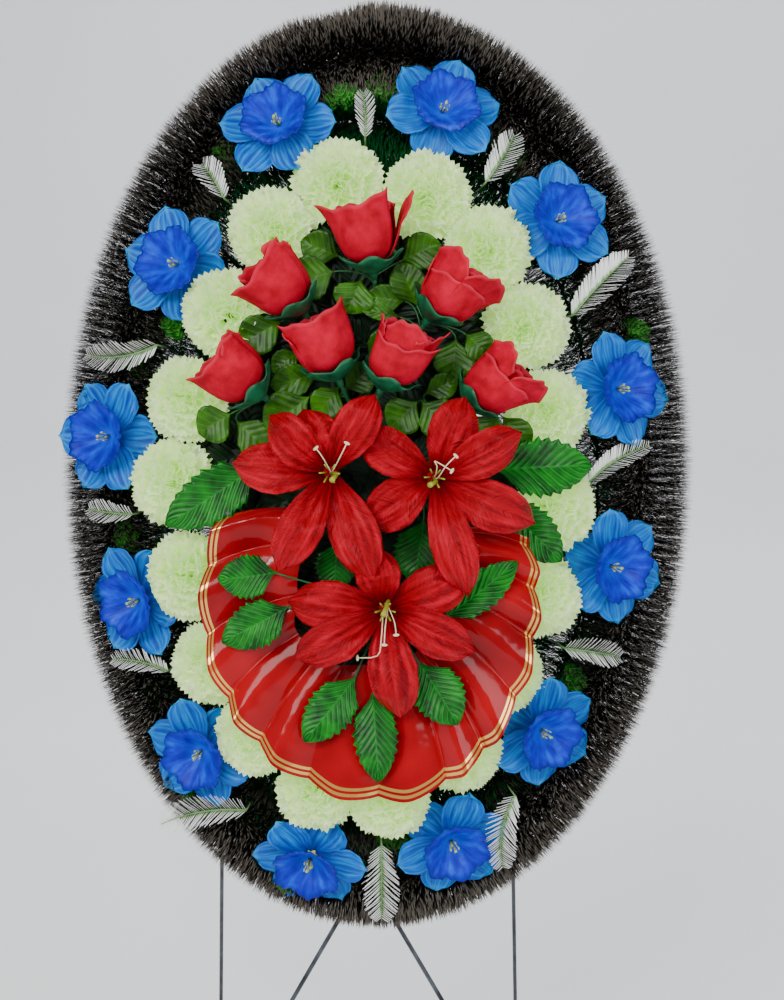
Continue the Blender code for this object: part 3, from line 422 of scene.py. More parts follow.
def join(bodies, name):
    """Several bodies as one mesh."""
    whole = bmesh.new()
    whole.loops.layers.uv.new("UVMap")
    for body in bodies:
        part = as_mesh(body, "part")
        whole.from_mesh(part)
        bpy.data.meshes.remove(part)
    return as_mesh(whole, name)


def curve_through(points, share):
    """The point at a share along a smooth curve that passes through all the points."""
    run = min(max(share, 0.0), 1.0) * (len(points) - 1)
    k = min(int(run), len(points) - 2)
    t = run - k
    before = points[max(k - 1, 0)]
    start = points[k]
    end = points[k + 1]
    after = points[min(k + 2, len(points) - 1)]
    slope_in = (end - before) / 2
    slope_out = (after - start) / 2
    return (start * (2 * t**3 - 3 * t**2 + 1) + slope_in * (t**3 - 2 * t**2 + t)
            + end * (3 * t**2 - 2 * t**3) + slope_out * (t**3 - t**2))


print("helpers ready")

# %% [markdown]
# ## The wires
# The frame and the stand are drawn steel wire, painted dark grey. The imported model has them
# with few sides, so round rods take their place here. A drawn wire has a faint grain along it,
# and paint wears a little, which shows as a slow change of tone.

# %% Wires
steel, tree, shader = new_material("painted steel wire")
wear = object_noise(tree, 60.0, 4.0)
tone = add(tree, "ShaderNodeValToRGB", {"Fac": wear.outputs["Fac"]},
           stops=[(0.35, paint("#2C2F34")), (0.7, paint("#565B62"))])
link(tree, tone.outputs["Color"], shader, "Base Color")
shader.inputs["Metallic"].default_value = 0.6
shader.inputs["Roughness"].default_value = 0.38
bump(tree, shader, wear.outputs["Fac"], 0.15, 0.0002)

WIRE_RADIUS = 2 * MM
LEG_RADIUS = 2.5 * MM
STAND_AXIS = -0.014
TOP_BAR = 0.225
BOTTOM_BAR = -0.250


def closed_wire(oval, radius, steps=120, sides=10):
    """A round wire bent into a closed oval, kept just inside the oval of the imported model."""
    def surface(across, along):
        ring_angle = math.tau * along
        around = math.pi * across
        middle = oval_point(oval, ring_angle, 0)
        out = outward(oval, middle)
        middle -= out * 0.4 * MM
        return middle + (out * math.cos(around) + TOWARDS_VIEWER * math.sin(around)) * radius
    return bent_grid(sides, steps, surface, closed=True)


def half_chord(oval, value, level):
    """The two ends of a straight bar across an oval, level or upright."""
    across, up, half_width, half_height = oval
    if level:
        reach = half_width * math.sqrt(1 - ((value - up) / half_height) ** 2)
        return [Vector((across - reach, 0, value)), Vector((across + reach, 0, value))]
    reach = half_height * math.sqrt(1 - ((value - across) / half_width) ** 2)
    return [Vector((value, 0, up - reach)), Vector((value, 0, up + reach))]


wires = [closed_wire(OUTER_OVAL, WIRE_RADIUS), closed_wire(INNER_OVAL, WIRE_RADIUS)]
for height in (TOP_BAR, BOTTOM_BAR):
    wires.append(rod(half_chord(OUTER_OVAL, height, True), [1.75 * MM] * 2, 10))
wires.append(rod(half_chord(OUTER_OVAL, STAND_AXIS, False), [1.5 * MM] * 2, 10))
show(join(wires, "wires"), "wire_ovals", steel, "steel_wire", "wire_frame")


def round_leg(node):
    """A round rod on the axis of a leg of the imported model, cut level at its foot."""
    to_wreath = WREATH.inverted()
    points = [vertex.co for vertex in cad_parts[node].data.vertices]
    middle = sum(points, Vector()) / len(points)
    top = [point for point in points if point.z > middle.z]
    foot = [point for point in points if point.z < middle.z]
    top_middle = sum(top, Vector()) / len(top)
    foot_middle = sum(foot, Vector()) / len(foot)
    along = (foot_middle - top_middle).normalized()
    body = rod([top_middle, foot_middle + along * 10 * MM], [LEG_RADIUS] * 2, 16)
    geometry = body.verts[:] + body.edges[:] + body.faces[:]
    bmesh.ops.bisect_plane(body, geom=geometry, plane_co=(0, 0, 0), plane_no=(0, 0, -1), clear_outer=True)
    bmesh.ops.holes_fill(body, edges=[edge for edge in body.edges if edge.is_boundary])
    bmesh.ops.recalc_face_normals(body, faces=body.faces)
    bmesh.ops.transform(body, matrix=to_wreath, verts=body.verts)
    return body


for side in ("front_leg_left", "front_leg_right", "rear_leg_left", "rear_leg_right"):
    show(as_mesh(round_leg(side), side), side + "_rod", steel, "steel_wire", side)

# %% [markdown]
# ## The daffodils
# An artificial daffodil has six printed tepals in two layers of three, and a ruffled trumpet
# glued in the middle. Each tepal is a grid whose width follows a rounded outline and whose
# height follows its arch, with a little noise so that no two are alike. The trumpet is a grid
# closed into a flaring tube: its radius follows a profile, with broad ruffles at the rim and
# fine pleats all round. Both get a real thickness.

# %% Daffodil cloth
def streaked_cloth(name, deep, middle, pale, base_dark, edge_light, roughness):
    """Printed cloth: streaks that run along the petal, a darker foot and a lighter edge."""
    material, tree, shader = new_material(name)
    uv = add(tree, "ShaderNodeUVMap", uv_map="UVMap")
    stretched = add(tree, "ShaderNodeMapping", {"Vector": uv.outputs["UV"], "Scale": (16, 1.8, 1)})
    own = add(tree, "ShaderNodeAttribute", attribute_name="shade")
    streaks = add(tree, "ShaderNodeTexNoise", {"Vector": stretched.outputs["Vector"], "W": own.outputs["Fac"],
                                               "Scale": 1.0, "Detail": 5.0}, noise_dimensions="4D")
    colour = add(tree, "ShaderNodeValToRGB", {"Fac": streaks.outputs["Fac"]},
                 stops=[(0.33, paint(deep)), (0.50, paint(middle)), (0.70, paint(pale))])
    parts = add(tree, "ShaderNodeSeparateXYZ", {"Vector": uv.outputs["UV"]})
    foot = add(tree, "ShaderNodeMapRange", {"Value": parts.outputs["Y"], "From Min": 0.0, "From Max": 0.45,
                                            "To Min": 1.0, "To Max": 0.0})
    darker = add(tree, "ShaderNodeMix", {0: foot.outputs["Result"], 6: colour.outputs["Color"],
                                         7: paint(base_dark)}, data_type="RGBA")
    rim = add(tree, "ShaderNodeMapRange", {"Value": parts.outputs["Y"], "From Min": 0.86, "From Max": 1.0,
                                           "To Min": 0.0, "To Max": 0.75})
    edged = add(tree, "ShaderNodeMix", {0: rim.outputs["Result"], 6: darker.outputs[2],
                                        7: paint(edge_light)}, data_type="RGBA")
    link(tree, edged.outputs[2], shader, "Base Color")
    shader.inputs["Roughness"].default_value = roughness
    shader.inputs["Specular IOR Level"].default_value = 0.18
    bump(tree, shader, streaks.outputs["Fac"], 0.35, 0.0012)
    return material


tepal_cloth = streaked_cloth("azure printed taffeta", "#003CA8", "#0068C8", "#0896E6", "#0030A4",
                             "#2AACEE", 0.5)
trumpet_cloth = streaked_cloth("royal blue printed taffeta", "#000A98", "#0026C4", "#005CE8", "#0050E0",
                               "#000678", 0.45)
anther_plastic, tree, shader = new_material("yellow green moulded stamens")
shader.inputs["Base Color"].default_value = paint("#B7C65A")
shader.inputs["Roughness"].default_value = 0.5

# %% Daffodil pieces
DAFFODILS = [
    (441, 118, 27, 8),
    (554, 224, 24, 25),
    (614, 390, 33, 49),
    (609, 566, 30, 40),
    (540, 731, 31, 32),
    (450, 843, 28, 20),
    (310, 860, 36, 56),
    (202, 751, 28, 42),
    (141, 599, 36, 57),
    (113, 436, 34, 0),
    (181, 267, 25, 44),
    (282, 131, 29, 0),
]
DAFFODIL_RADIUS = 64 * MM
DAFFODIL_HEIGHT = 60 * MM
TEPAL_ALONG = (0.0, 0.2, 0.42, 0.66, 0.82, 0.93, 1.0)
TEPAL_WIDTH = (0.34, 0.60, 0.90, 1.00, 0.86, 0.56, 0.05)
TRUMPET_ALONG = (0.0, 0.10, 0.20, 0.50, 0.80, 0.93, 1.0)
TRUMPET_RADIUS = (0.2, 6.0, 10.0, 19.0, 26.0, 30.0, 33.5)
TRUMPET_HEIGHT = (4.0, 3.2, 5.5, 14.0, 21.0, 24.0, 25.0)


def tepal(front, seed):
    """One rounded tepal that lies along +X, arched and softly waved."""
    def surface(across, along):
        half_width = 24 * MM * np.interp(along, TEPAL_ALONG, TEPAL_WIDTH)
        reach = 5 * MM + (DAFFODIL_RADIUS - 5 * MM) * along * (1 - 0.05 * abs(across) ** 2)
        arch = 9 * MM * along**2 + (4 * MM if front else 0) * min(along * 4, 1)
        cup = 5.5 * MM * across**2 * math.sin(math.pi * min(along * 1.05, 1))
        crease = -1.6 * MM * math.exp(-(across / 0.16) ** 2) * (1 - along)
        wave = 3.2 * MM * along * noise.noise(Vector((across * 1.7, along * 3.1, seed)))
        flutter = 1.1 * MM * along * abs(across) * math.sin(along * 23 + seed * 5)
        return Vector((reach, across * half_width, arch + cup + crease + wave + flutter))
    return bent_grid(12, 14, surface, 0.4 * MM)


def trumpet(seed):
    """The ruffled trumpet, opening towards +Z."""
    def surface(across, along):
        angle = math.pi * across
        radius = MM * np.interp(along, TRUMPET_ALONG, TRUMPET_RADIUS)
        height = MM * np.interp(along, TRUMPET_ALONG, TRUMPET_HEIGHT)
        ruffle = 0.5 - 0.5 * math.cos(6 * angle)
        fine = math.sin(17 * angle + seed * 3) + 0.6 * math.sin(29 * angle + seed * 7)
        radius += MM * (4.2 * ruffle * along**4 + 0.9 * fine * along**3 + 0.35 * math.cos(36 * angle) * along)
        height += MM * (3.6 * ruffle * along**4 + 1.1 * math.sin(23 * angle + seed) * along**6)
        return Vector((radius * math.cos(angle), radius * math.sin(angle), height))
    return bent_grid(108, 16, surface, 0.5 * MM, closed=True)


def stamens(seed):
    """A pistil and six stamens, leaning out a little from the bottom of the trumpet."""
    bodies = [rod([Vector((0, 0, 3 * MM)), Vector((0, 0, 20 * MM)), Vector((0, 0, 23 * MM))],
                  [0.9 * MM, 0.8 * MM, 1.6 * MM], 8)]
    for k in range(6):
        angle = math.tau * k / 6 + seed
        lean = Vector((math.cos(angle), math.sin(angle), 0))
        top = lean * 4.5 * MM + Vector((0, 0, (15 + 3 * math.sin(seed * 9 + k * 2)) * MM))
        bodies.append(rod([lean * 1.5 * MM + Vector((0, 0, 4 * MM)), top], [0.45 * MM] * 2, 6))
        bodies.append(rod([top - Vector((0, 0, 2.5 * MM)), top, top + Vector((0, 0, 3 * MM))],
                          [0.4 * MM, 1.1 * MM, 0.3 * MM], 6))
    return bodies


def turned_mesh(body, matrix):
    """A body moved by a matrix."""
    bmesh.ops.transform(body, matrix=matrix, verts=body.verts)
    return body


def shade_mesh(mesh, value):
    """Give a whole mesh one shade."""
    mesh.attributes.new("shade", "FLOAT", "POINT").data.foreach_set("value", [value] * len(mesh.vertices))
    return mesh


covers = []


def remember(mesh):
    """Keep a search tree of a piece, so that needles can stop short of it."""
    covers.append(BVHTree.FromPolygons([vertex.co.copy() for vertex in mesh.vertices],
                                       [tuple(face.vertices) for face in mesh.polygons]))
    return mesh


for k, (px, py, tilt_degrees, roll_degrees) in enumerate(DAFFODILS):
    tilt = math.radians(tilt_degrees)
    middle = photo_point(px, py, DAFFODIL_HEIGHT)
    bearing = outward(DAFFODIL_OVAL, middle)
    facing = flower_place(middle, tilt, bearing, math.radians(roll_degrees))
    tepals = []
    for petal in range(6):
        around = facing @ Matrix.Rotation(math.radians(60 * petal), 4, "Z")
        tepals.append(turned_mesh(tepal(petal % 2 == 1, k * 6.7 + petal * 1.3), around))
    for body in tepals:
        for vertex in body.verts:
            inwards = max(0.0, -(vertex.co - middle).dot(bearing)) / DAFFODIL_RADIUS
            vertex.co.y += (DAFFODIL_RADIUS * math.sin(tilt) + 16 * MM) * inwards**1.6
    cup = turned_mesh(trumpet(k * 1.9), facing @ Matrix.Translation((0, 0, 1.5 * MM)))
    pistil = [turned_mesh(body, facing @ Matrix.Translation((0, 0, 1.5 * MM))) for body in stamens(k * 0.8)]
    stem = rod([middle + facing.to_3x3() @ Vector((0, 0, -1 * MM)),
                middle + facing.to_3x3() @ Vector((0, 0, -18 * MM)),
                Vector((middle.x, -14 * MM, middle.z)) - bearing * 4 * MM], [7 * MM, 3.5 * MM, 2 * MM], 8)
    number = f"{k + 1:02d}"
    show(shade_mesh(remember(join(tepals, "tepals")), k / 12), f"daffodil_{number}_tepals", tepal_cloth,
         "daffodil_petal", f"daffodil_petals_{number}")
    show(shade_mesh(remember(as_mesh(cup, "cup")), k / 12), f"daffodil_{number}_trumpet", trumpet_cloth,
         "daffodil_trumpet", f"daffodil_corona_{number}")
    show(join([*pistil, stem], "stamens"), f"daffodil_{number}_stamens", anther_plastic, "green_leaf")


# %% [markdown]
# ## The carnations
# An artificial carnation is a stack of round cloth layers, each cut into frilled petals with a
# saw-toothed edge and pushed up on a stem. Modelling every layer as rings would look like a
# cog, so each head is made of about fifty copies of a few ruffled petals: the outer ones lie
# almost flat and the inner ones stand up. Where two heads or a head and a daffodil meet, cloth
# gives way, so points that would go well past the middle between them are pushed back.

# %% Carnation cloth
carnation_cloth, tree, shader = new_material("mint dyed crimped taffeta")
# The dye is mint and palest on the cut edge. The darker yellow green at the petal feet is painted shade deep
# in the folds, which gives the heads depth.
uv = add(tree, "ShaderNodeUVMap", uv_map="UVMap")
parts = add(tree, "ShaderNodeSeparateXYZ", {"Vector": uv.outputs["UV"]})
petal_dye_and_painted_shade = add(tree, "ShaderNodeValToRGB", {"Fac": parts.outputs["Y"]},
                  stops=[(0.0, paint("#7CB820")), (0.35, paint("#BCF45C")), (0.72, paint("#DAFF98")),
                         (1.0, paint("#ECFFC8"))])
own = add(tree, "ShaderNodeAttribute", attribute_name="shade")
petal_tone = add(tree, "ShaderNodeMapRange", {"Value": own.outputs["Fac"], "To Min": 0.0, "To Max": 0.30})
varied = add(tree, "ShaderNodeMix", {0: petal_tone.outputs["Result"], 6: petal_dye_and_painted_shade.outputs["Color"],
                                     7: paint("#DAFF86")}, data_type="RGBA")
link(tree, varied.outputs[2], shader, "Base Color")
shader.inputs["Roughness"].default_value = 0.75
shader.inputs["Specular IOR Level"].default_value = 0.3
shader.inputs["Subsurface Weight"].default_value = 0.8
shader.inputs["Subsurface Radius"].default_value = (1.0, 1.0, 0.6)
shader.inputs["Subsurface Scale"].default_value = 0.02
# Light shines through the thin cloth from petal to petal; a weak glow stands in for it.
link(tree, varied.outputs[2], shader, "Emission Color")
shader.inputs["Emission Strength"].default_value = 0.17
# Crimps run from the foot to the edge of a petal, about 1.5 mm apart.
stretched = add(tree, "ShaderNodeMapping", {"Vector": uv.outputs["UV"], "Scale": (30, 2, 1)})
crimp = add(tree, "ShaderNodeTexNoise", {"Vector": stretched.outputs["Vector"], "Scale": 1.0, "Detail": 3.0})
bump(tree, shader, crimp.outputs["Fac"], 0.5, 0.001)

stem_plastic = mottled("moulded green polythene stems", 70.0, "#0B4A22", "#1F6B33", 0.42)

# %% Carnation petals
CARNATIONS = [
    [(273, 233, 45), (338, 182, 45), (427, 197, 45), (488, 250, 45), (527, 327, 44)],
    [(549, 412, 43), (555, 508, 44), (540, 597, 44), (505, 675, 42), (463, 755, 42)],
    [(388, 803, 43), (315, 795, 42), (255, 738, 43), (210, 665, 43)],
    [(188, 577, 45), (174, 482, 44), (188, 400, 43), (226, 314, 44)],
]
CARNATION_RAISED = (4 * MM, 8 * MM, 10 * MM, 16 * MM)
CARNATION_HEIGHT = 84 * MM
CARNATION_TILT = math.radians(10)
CARNATION_LAYERS = [
    (9, 4, 48), (9, 18, 46), (9, 32, 43), (8, 46, 40), (7, 60, 37), (6, 73, 35), (4, 84, 32),
]
GARLAND_TOP = 16 * MM


def frilled_petal(seed):
    """A fan-shaped petal of unit length along +X with ruffles that grow to a toothed edge."""
    def surface(across, along):
        spread = math.radians(38) * across
        teeth = 0.04 * (1 if round((across + 1) * 10) % 2 else -1) * (along > 0.9)
        reach = (0.06 + 0.94 * along) * (1 - 0.10 * across**2) + teeth
        ruffle = math.sin(across * 6.4 + seed * 2.1) + 0.5 * math.sin(across * 11 + seed * 4.7)
        wave = 0.15 * along**1.6 * ruffle + 0.08 * noise.noise(Vector((across * 2, along * 3, seed)))
        curl = 0.10 * along**2
        return Vector((reach * math.cos(spread), reach * math.sin(spread), wave + curl))
    return as_mesh(bent_grid(20, 4, surface), "frilled petal")


frilled_petals = [frilled_petal(seed) for seed in range(6)]
carnation_middles = [photo_point(px, py, CARNATION_HEIGHT) for row in CARNATIONS for px, py, _ in row]
daffodil_middles = [photo_point(px, py, DAFFODIL_HEIGHT) for px, py, _, _ in DAFFODILS]


def walls_round(middle):
    """Upright planes, as a point and a normal, that a head's petals must not cross."""
    walls = []
    for other in carnation_middles:
        apart = Vector((other.x - middle.x, 0, other.z - middle.z))
        if 0 < apart.length < 0.120:
            walls.append((middle + apart / 2 + apart.normalized() * 3 * MM, apart.normalized(), 5 * MM))
    for other in daffodil_middles:
        apart = Vector((other.x - middle.x, 0, other.z - middle.z))
        if apart.length < 0.090:
            walls.append((other - apart.normalized() * 17 * MM, apart.normalized(), 4 * MM))
    return walls


def press_back(mesh, walls):
    """Push what would cross a wall back, softly, so that the frills crowd against it."""
    points = np.empty(len(mesh.vertices) * 3)
    mesh.vertices.foreach_get("co", points)
    points = points.reshape(-1, 3)
    for wall, normal, give in walls:
        beyond = (points - np.array(wall)) @ np.array(normal) + give
        pushed = np.where(beyond > 0, beyond - give * (1 - np.exp(-beyond / give)), 0.0)
        points -= pushed[:, None] * np.array(normal)
    mesh.vertices.foreach_set("co", points.ravel())


def joined(meshes, name):
    """Several meshes, with their UV maps and shades, as one mesh."""
    whole = bmesh.new()
    whole.verts.layers.float.new("shade")
    whole.loops.layers.uv.new("UVMap")
    for mesh in meshes:
        whole.from_mesh(mesh)
        bpy.data.meshes.remove(mesh)
    return as_mesh(whole, name)


head_count = 0
for group, row in enumerate(CARNATIONS):
    heads = []
    cups = []
    for px, py, radius_px in row:
        rng = random.Random(px)
        flat_middle = photo_point(px, py, CARNATION_HEIGHT)
        middle = flat_middle + TOWARDS_VIEWER * CARNATION_RAISED[group]
        bearing = outward(INNER_OVAL, flat_middle)
        facing = flower_place(middle, CARNATION_TILT, bearing, math.radians(px))
        size = radius_px * HEAD_PIXEL / (46 * MM)
        places = []
        for count, elevation, length in CARNATION_LAYERS:
            start = rng.random() * math.tau
            for k in range(count):
                turn = start + math.tau * (k + rng.uniform(-0.2, 0.2)) / count
                rise = math.radians(elevation + rng.uniform(-10, 10))
                reach = length * MM * size * rng.uniform(0.93, 1.03)
                place = (facing @ Matrix.Translation((0, 0, -17 * MM)) @ Matrix.Rotation(turn, 4, "Z")
                         @ Matrix.Rotation(-rise, 4, "Y") @ Matrix.Diagonal((reach, reach, reach, 1)))
                places.append((rng.randrange(len(frilled_petals)), place))
        head = copies(frilled_petals, places, "head", rng)
        press_back(head, walls_round(flat_middle))
        heads.append(head)
        seat = Vector((middle.x, -GARLAND_TOP, middle.z))
        foot = facing @ Vector((0, 0, -30 * MM))
        cups.append(rod([facing @ Vector((0, 0, -12 * MM)), facing @ Vector((0, 0, -20 * MM)), foot,
                         foot.lerp(seat, 0.3), seat], [10 * MM, 9.5 * MM, 7 * MM, 3 * MM, 2 * MM], 10))
        head_count += 1
    number = group + 1
    show(remember(joined(heads, "petals")), f"carnation_heads_{number}", carnation_cloth, "carnation",
         f"carnations_{number}")
    show(join(cups, "cups"), f"carnation_cups_{number}", stem_plastic, "green_leaf")
print("carnation heads:", head_count)


# %% [markdown]
# ## The roses
# The rosebuds are flocked velvet petals wrapped round a rolled heart. A petal is a sheet bent
# round the bud's axis. Its rim has a height at five places from left to right, and its corners
# or the whole rim turn out, so a short list for each bud gives it the outline it has in the
# photograph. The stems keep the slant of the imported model, and the buds are drawn flatter and a
# little nearer to the viewer, which comes closer to the photograph.

# %% Rose velvet
rose_velvet, tree, shader = new_material("scarlet flocked velvet")
# Flock scatters light from its upright fibres, so edges that turn away look paler: sheen.
parts = uv_parts(tree)
crushed = object_noise(tree, 60.0, 3.0)
velvet_tone = add(tree, "ShaderNodeValToRGB", {"Fac": crushed.outputs["Fac"]},
                  stops=[(0.30, paint("#9A0018")), (0.52, paint("#B80026")), (0.75, paint("#CE0034"))])
# Darker towards the foot of each petal: painted shade deep in the bud.
foot = add(tree, "ShaderNodeMapRange", {"Value": parts.outputs["Y"], "From Min": 0.0, "From Max": 0.5,
                                        "To Min": 0.6, "To Max": 0.0})
foot_painted_shade = add(tree, "ShaderNodeMix", {0: foot.outputs["Result"], 6: velvet_tone.outputs["Color"],
                                     7: paint("#7C000A")}, data_type="RGBA")
# The rims are painted a lighter pink: a painted highlight along the petal edges.
rim = add(tree, "ShaderNodeMapRange", {"Value": parts.outputs["Y"], "From Min": 0.93, "From Max": 1.0,
                                       "To Min": 0.0, "To Max": 0.25})
rim_painted_highlight = add(tree, "ShaderNodeMix", {0: rim.outputs["Result"], 6: foot_painted_shade.outputs[2], 7: paint("#F05A6E")},
           data_type="RGBA")
link(tree, rim_painted_highlight.outputs[2], shader, "Base Color")
shader.inputs["Roughness"].default_value = 0.85
shader.inputs["Specular IOR Level"].default_value = 0.15
shader.inputs["Sheen Weight"].default_value = 0.12
shader.inputs["Sheen Roughness"].default_value = 0.3
shader.inputs["Sheen Tint"].default_value = paint("#FF2020")
# Flock is about 0.5 mm long; it is drawn 1 mm coarse so that it shows.
flock = object_noise(tree, 900.0, 1.0)
bump(tree, shader, flock.outputs["Fac"], 0.35, 0.0006)

calyx_plastic = mottled("blue green moulded calyx", 60.0, "#063A26", "#157048", 0.38, 3.0)

# %% Rosebuds
# Foot in the photograph, direction in degrees, length, height proud of the frame.
ROSES = [
    (373, 266, 98, 78 * MM, 118 * MM),
    (300, 308, 128, 78 * MM, 118 * MM),
    (433, 314, 52, 76 * MM, 122 * MM),
    (336, 372, 112, 74 * MM, 134 * MM),
    (385, 382, 64, 76 * MM, 134 * MM),
    (258, 391, 140, 72 * MM, 126 * MM),
    (472, 401, 40, 76 * MM, 118 * MM),
]
ROSE_RISE = math.radians(24)
BUD_RISE = math.radians(12)
BUD_FORWARD = 6 * MM
# Each petal: degrees round from the viewer's side, half width in degrees, how high its rim is
# from left to right in shares of the bud's length, how far its left corner, its right corner
# and the whole rim turn out in mm. The first is the outermost.
ROSE_PETALS = [
    [(-20, 74, (0.93, 0.90, 0.92, 1.0, 1.10), 15, -4, 0), (86, 36, (0.66, 0.86, 0.92, 0.92, 0.80), 0, 0, 20)],
    [(-16, 72, (0.76, 0.76, 0.86, 0.98, 1.04), 13, -2, 0), (44, 36, (1.02, 1.08, 0.98, 0.9, 0.8), 0, 0, 0)],
    [(12, 64, (0.58, 0.66, 0.70, 0.72, 0.60), 0, 0, 3), (50, 46, (0.80, 0.97, 1.02, 0.98, 0.72), 0, 6, 9),
     (-34, 48, (0.82, 1.0, 1.05, 1.0, 0.80), 3, 0, 1), (-92, 28, (0.52, 0.70, 0.74, 0.62, 0.5), 0, 0, 5)],
    [(0, 80, (0.99, 0.95, 0.94, 0.99, 1.02), 2, 1, 0), (-88, 34, (0.7, 0.8, 0.84, 0.8, 0.7), 0, 0, 3)],
    [(6, 58, (0.70, 0.64, 0.66, 0.74, 0.84), 0, 4, 3), (60, 42, (0.80, 0.86, 0.90, 0.98, 1.04), 0, 7, 0),
     (0, 46, (0.84, 1.0, 1.03, 1.0, 0.84), 0, 0, 1), (-70, 34, (0.88, 0.84, 0.78, 0.7, 0.7), 5, 0, 0)],
    [(-10, 74, (0.96, 0.89, 0.90, 0.97, 0.94), 2, 0, 0), (52, 42, (0.84, 0.98, 1.0, 0.95, 0.78), 0, 0, 1)],
    [(6, 64, (0.68, 0.70, 0.68, 0.72, 0.70), 0, 0, 2), (52, 42, (0.78, 0.98, 1.03, 0.99, 0.74), 0, 4, 8),
     (-36, 44, (0.82, 1.0, 1.06, 1.0, 0.82), 2, 0, 0)],
]
# The petals behind those, the same in every bud.
INNER_PETALS = [
    (180, 92, (0.80, 0.84, 0.80, 0.84, 0.80), 0, 0, 0), (-120, 60, (0.80, 0.84, 0.86, 0.84, 0.8), 0, 0, 0),
    (118, 60, (0.80, 0.84, 0.86, 0.84, 0.8), 0, 0, 0), (20, 70, (0.78, 0.84, 0.86, 0.84, 0.78), 0, 0, 0),
]
BUD_ALONG = (0.0, 0.08, 0.20, 0.40, 0.60, 0.80, 1.0)
BUD_RADIUS = (6.5, 15.0, 22.0, 26.0, 27.0, 27.0, 27.0)
RIM_AT = (-1, -0.5, 0, 0.5, 1)


def rose_axis(direction, rise):
    """A way out across the wreath, in degrees, that rises towards the viewer by an angle."""
    angle = math.radians(direction)
    flat = Vector((math.cos(angle), 0, math.sin(angle)))
    return flat * math.cos(rise) + TOWARDS_VIEWER * math.sin(rise)


def bud_place(foot, direction):
    """The matrix of a bud: z along its axis, and -y on the viewer's side."""
    axis = rose_axis(direction, BUD_RISE)
    front = (TOWARDS_VIEWER - axis * axis.dot(TOWARDS_VIEWER)).normalized()
    right = axis.cross(front)
    turned = Matrix((right, -front, axis)).transposed().to_4x4()
    return Matrix.Translation(foot + TOWARDS_VIEWER * BUD_FORWARD) @ turned


def rose_petal(petal, length, layer, seed):
    """One petal of a bud, wrapped round the axis and turned out at its rim."""
    turn, half, rim, out_left, out_right, out = petal

    def surface(across, along):
        spread = half * np.interp(along, (0, 0.3, 1), (0.8, 1, 0.97))
        angle = math.radians(turn + across * spread)
        high = length * along * np.interp(across, RIM_AT, rim)
        high -= 0.02 * length * along**4 * math.sin(across * 9 + seed)
        radius = np.interp(along, BUD_ALONG, BUD_RADIUS) + layer * 1.5 * min(along * 4, 1)
        corner = out_left if across < 0 else out_right
        radius += corner * abs(across) ** 2 * along**2.5 + out * along**2
        radius += 2.2 * max(0.0, along - 0.9) / 0.1 + 1.5 * abs(across) ** 3 * along
        radius += 2.6 * noise.noise(Vector((across * 1.6, along * 2.2, seed * 3.1))) * along
        return Vector((radius * MM * math.sin(angle), -radius * MM * math.cos(angle), high))
    return bent_grid(18, 14, surface, 1.0 * MM)


def rose_heart(length, seed):
    """The rolled heart: one sheet wound in a spiral of more than two turns."""
    def surface(across, along):
        wound = (across + 1) / 2
        angle = seed * 2 + wound * math.tau * 2.4
        radius = MM * (3 + 17 * wound) * (1 - 0.22 * along**2)
        belly = 0.45 + 0.55 * math.sin(math.pi * min(along + 0.15, 1) * 0.62)
        high = length * (0.20 + along * (0.64 - 0.10 * wound + 0.025 * math.sin(angle * 1.3)))
        high += 2.2 * MM * math.sin(angle * 0.9 + seed) * along**3
        return Vector((radius * belly * math.sin(angle), -radius * belly * math.cos(angle), high))
    return bent_grid(72, 9, surface, 0.8 * MM)


def rose_cup(length):
    """The closed core of the bud, dark behind the petals."""
    rings = [(0.02, 5), (0.12, 12), (0.26, 20), (0.42, 22), (0.58, 19), (0.68, 11)]
    path = [Vector((0, 0, length * share)) for share, _ in rings]
    return rod(path, [radius * MM for _, radius in rings], 16)


def calyx(seed):
    """A wavy cup of pointed sepals on the thick end of the stem."""
    def surface(across, along):
        angle = math.pi * across
        sepal = 0.5 + 0.5 * math.cos(5 * angle + seed)
        reach = along * (0.74 + 0.26 * sepal * along)
        radius = MM * np.interp(reach, (0, 0.30, 0.65, 1.0), (3.4, 14, 25, 34))
        high = MM * (-9 + 23 * reach**1.3)
        flute = 1.8 * MM * math.sin(10 * angle + seed * 2) * along**2
        return Vector(((radius + flute) * math.sin(angle), -(radius + flute) * math.cos(angle), high))
    return bent_grid(60, 8, surface, 0.7 * MM, closed=True)


calyxes = []
for k, (px, py, direction, length, proud) in enumerate(ROSES):
    place = bud_place(photo_point(px, py, proud), direction)
    length *= math.cos(ROSE_RISE) / math.cos(BUD_RISE)
    bodies = [rose_cup(length), rose_heart(length, k * 1.7)]
    for index, petal in enumerate(ROSE_PETALS[k] + INNER_PETALS):
        bodies.append(rose_petal(petal, length, 2.5 - index, k * 5 + index))
    whole = [turned_mesh(body, place) for body in bodies]
    show(remember(join(whole, "bud")), f"rosebud_{k + 1}", rose_velvet, "rose", f"rose_{k + 1}")
    calyxes.append(turned_mesh(calyx(k * 1.3), place))
    neck = rod([Vector((0, 0, high * MM)) for high in (-16, -8, -1)], [3.0 * MM, 4.6 * MM, 8 * MM], 12)
    calyxes.append(turned_mesh(neck, place))
show(remember(join(calyxes, "calyxes")), "rose_calyxes", calyx_plastic, "green_leaf")


# %% [markdown]
# ## The lilies
# Each lily has six long petals of crinkled satin, heat-pressed so that they arch up and curl
# over at their tips. A petal is a grid along a smooth curve: it has a groove down its middle,
# raised sides near the throat, drooping sides near the tip, and a wavy edge. Fine creases that
# fan out from the middle line are left to the satin's bump, which costs no faces.

# %% Lily satin
lily_satin, tree, shader = new_material("crimson crinkled satin")
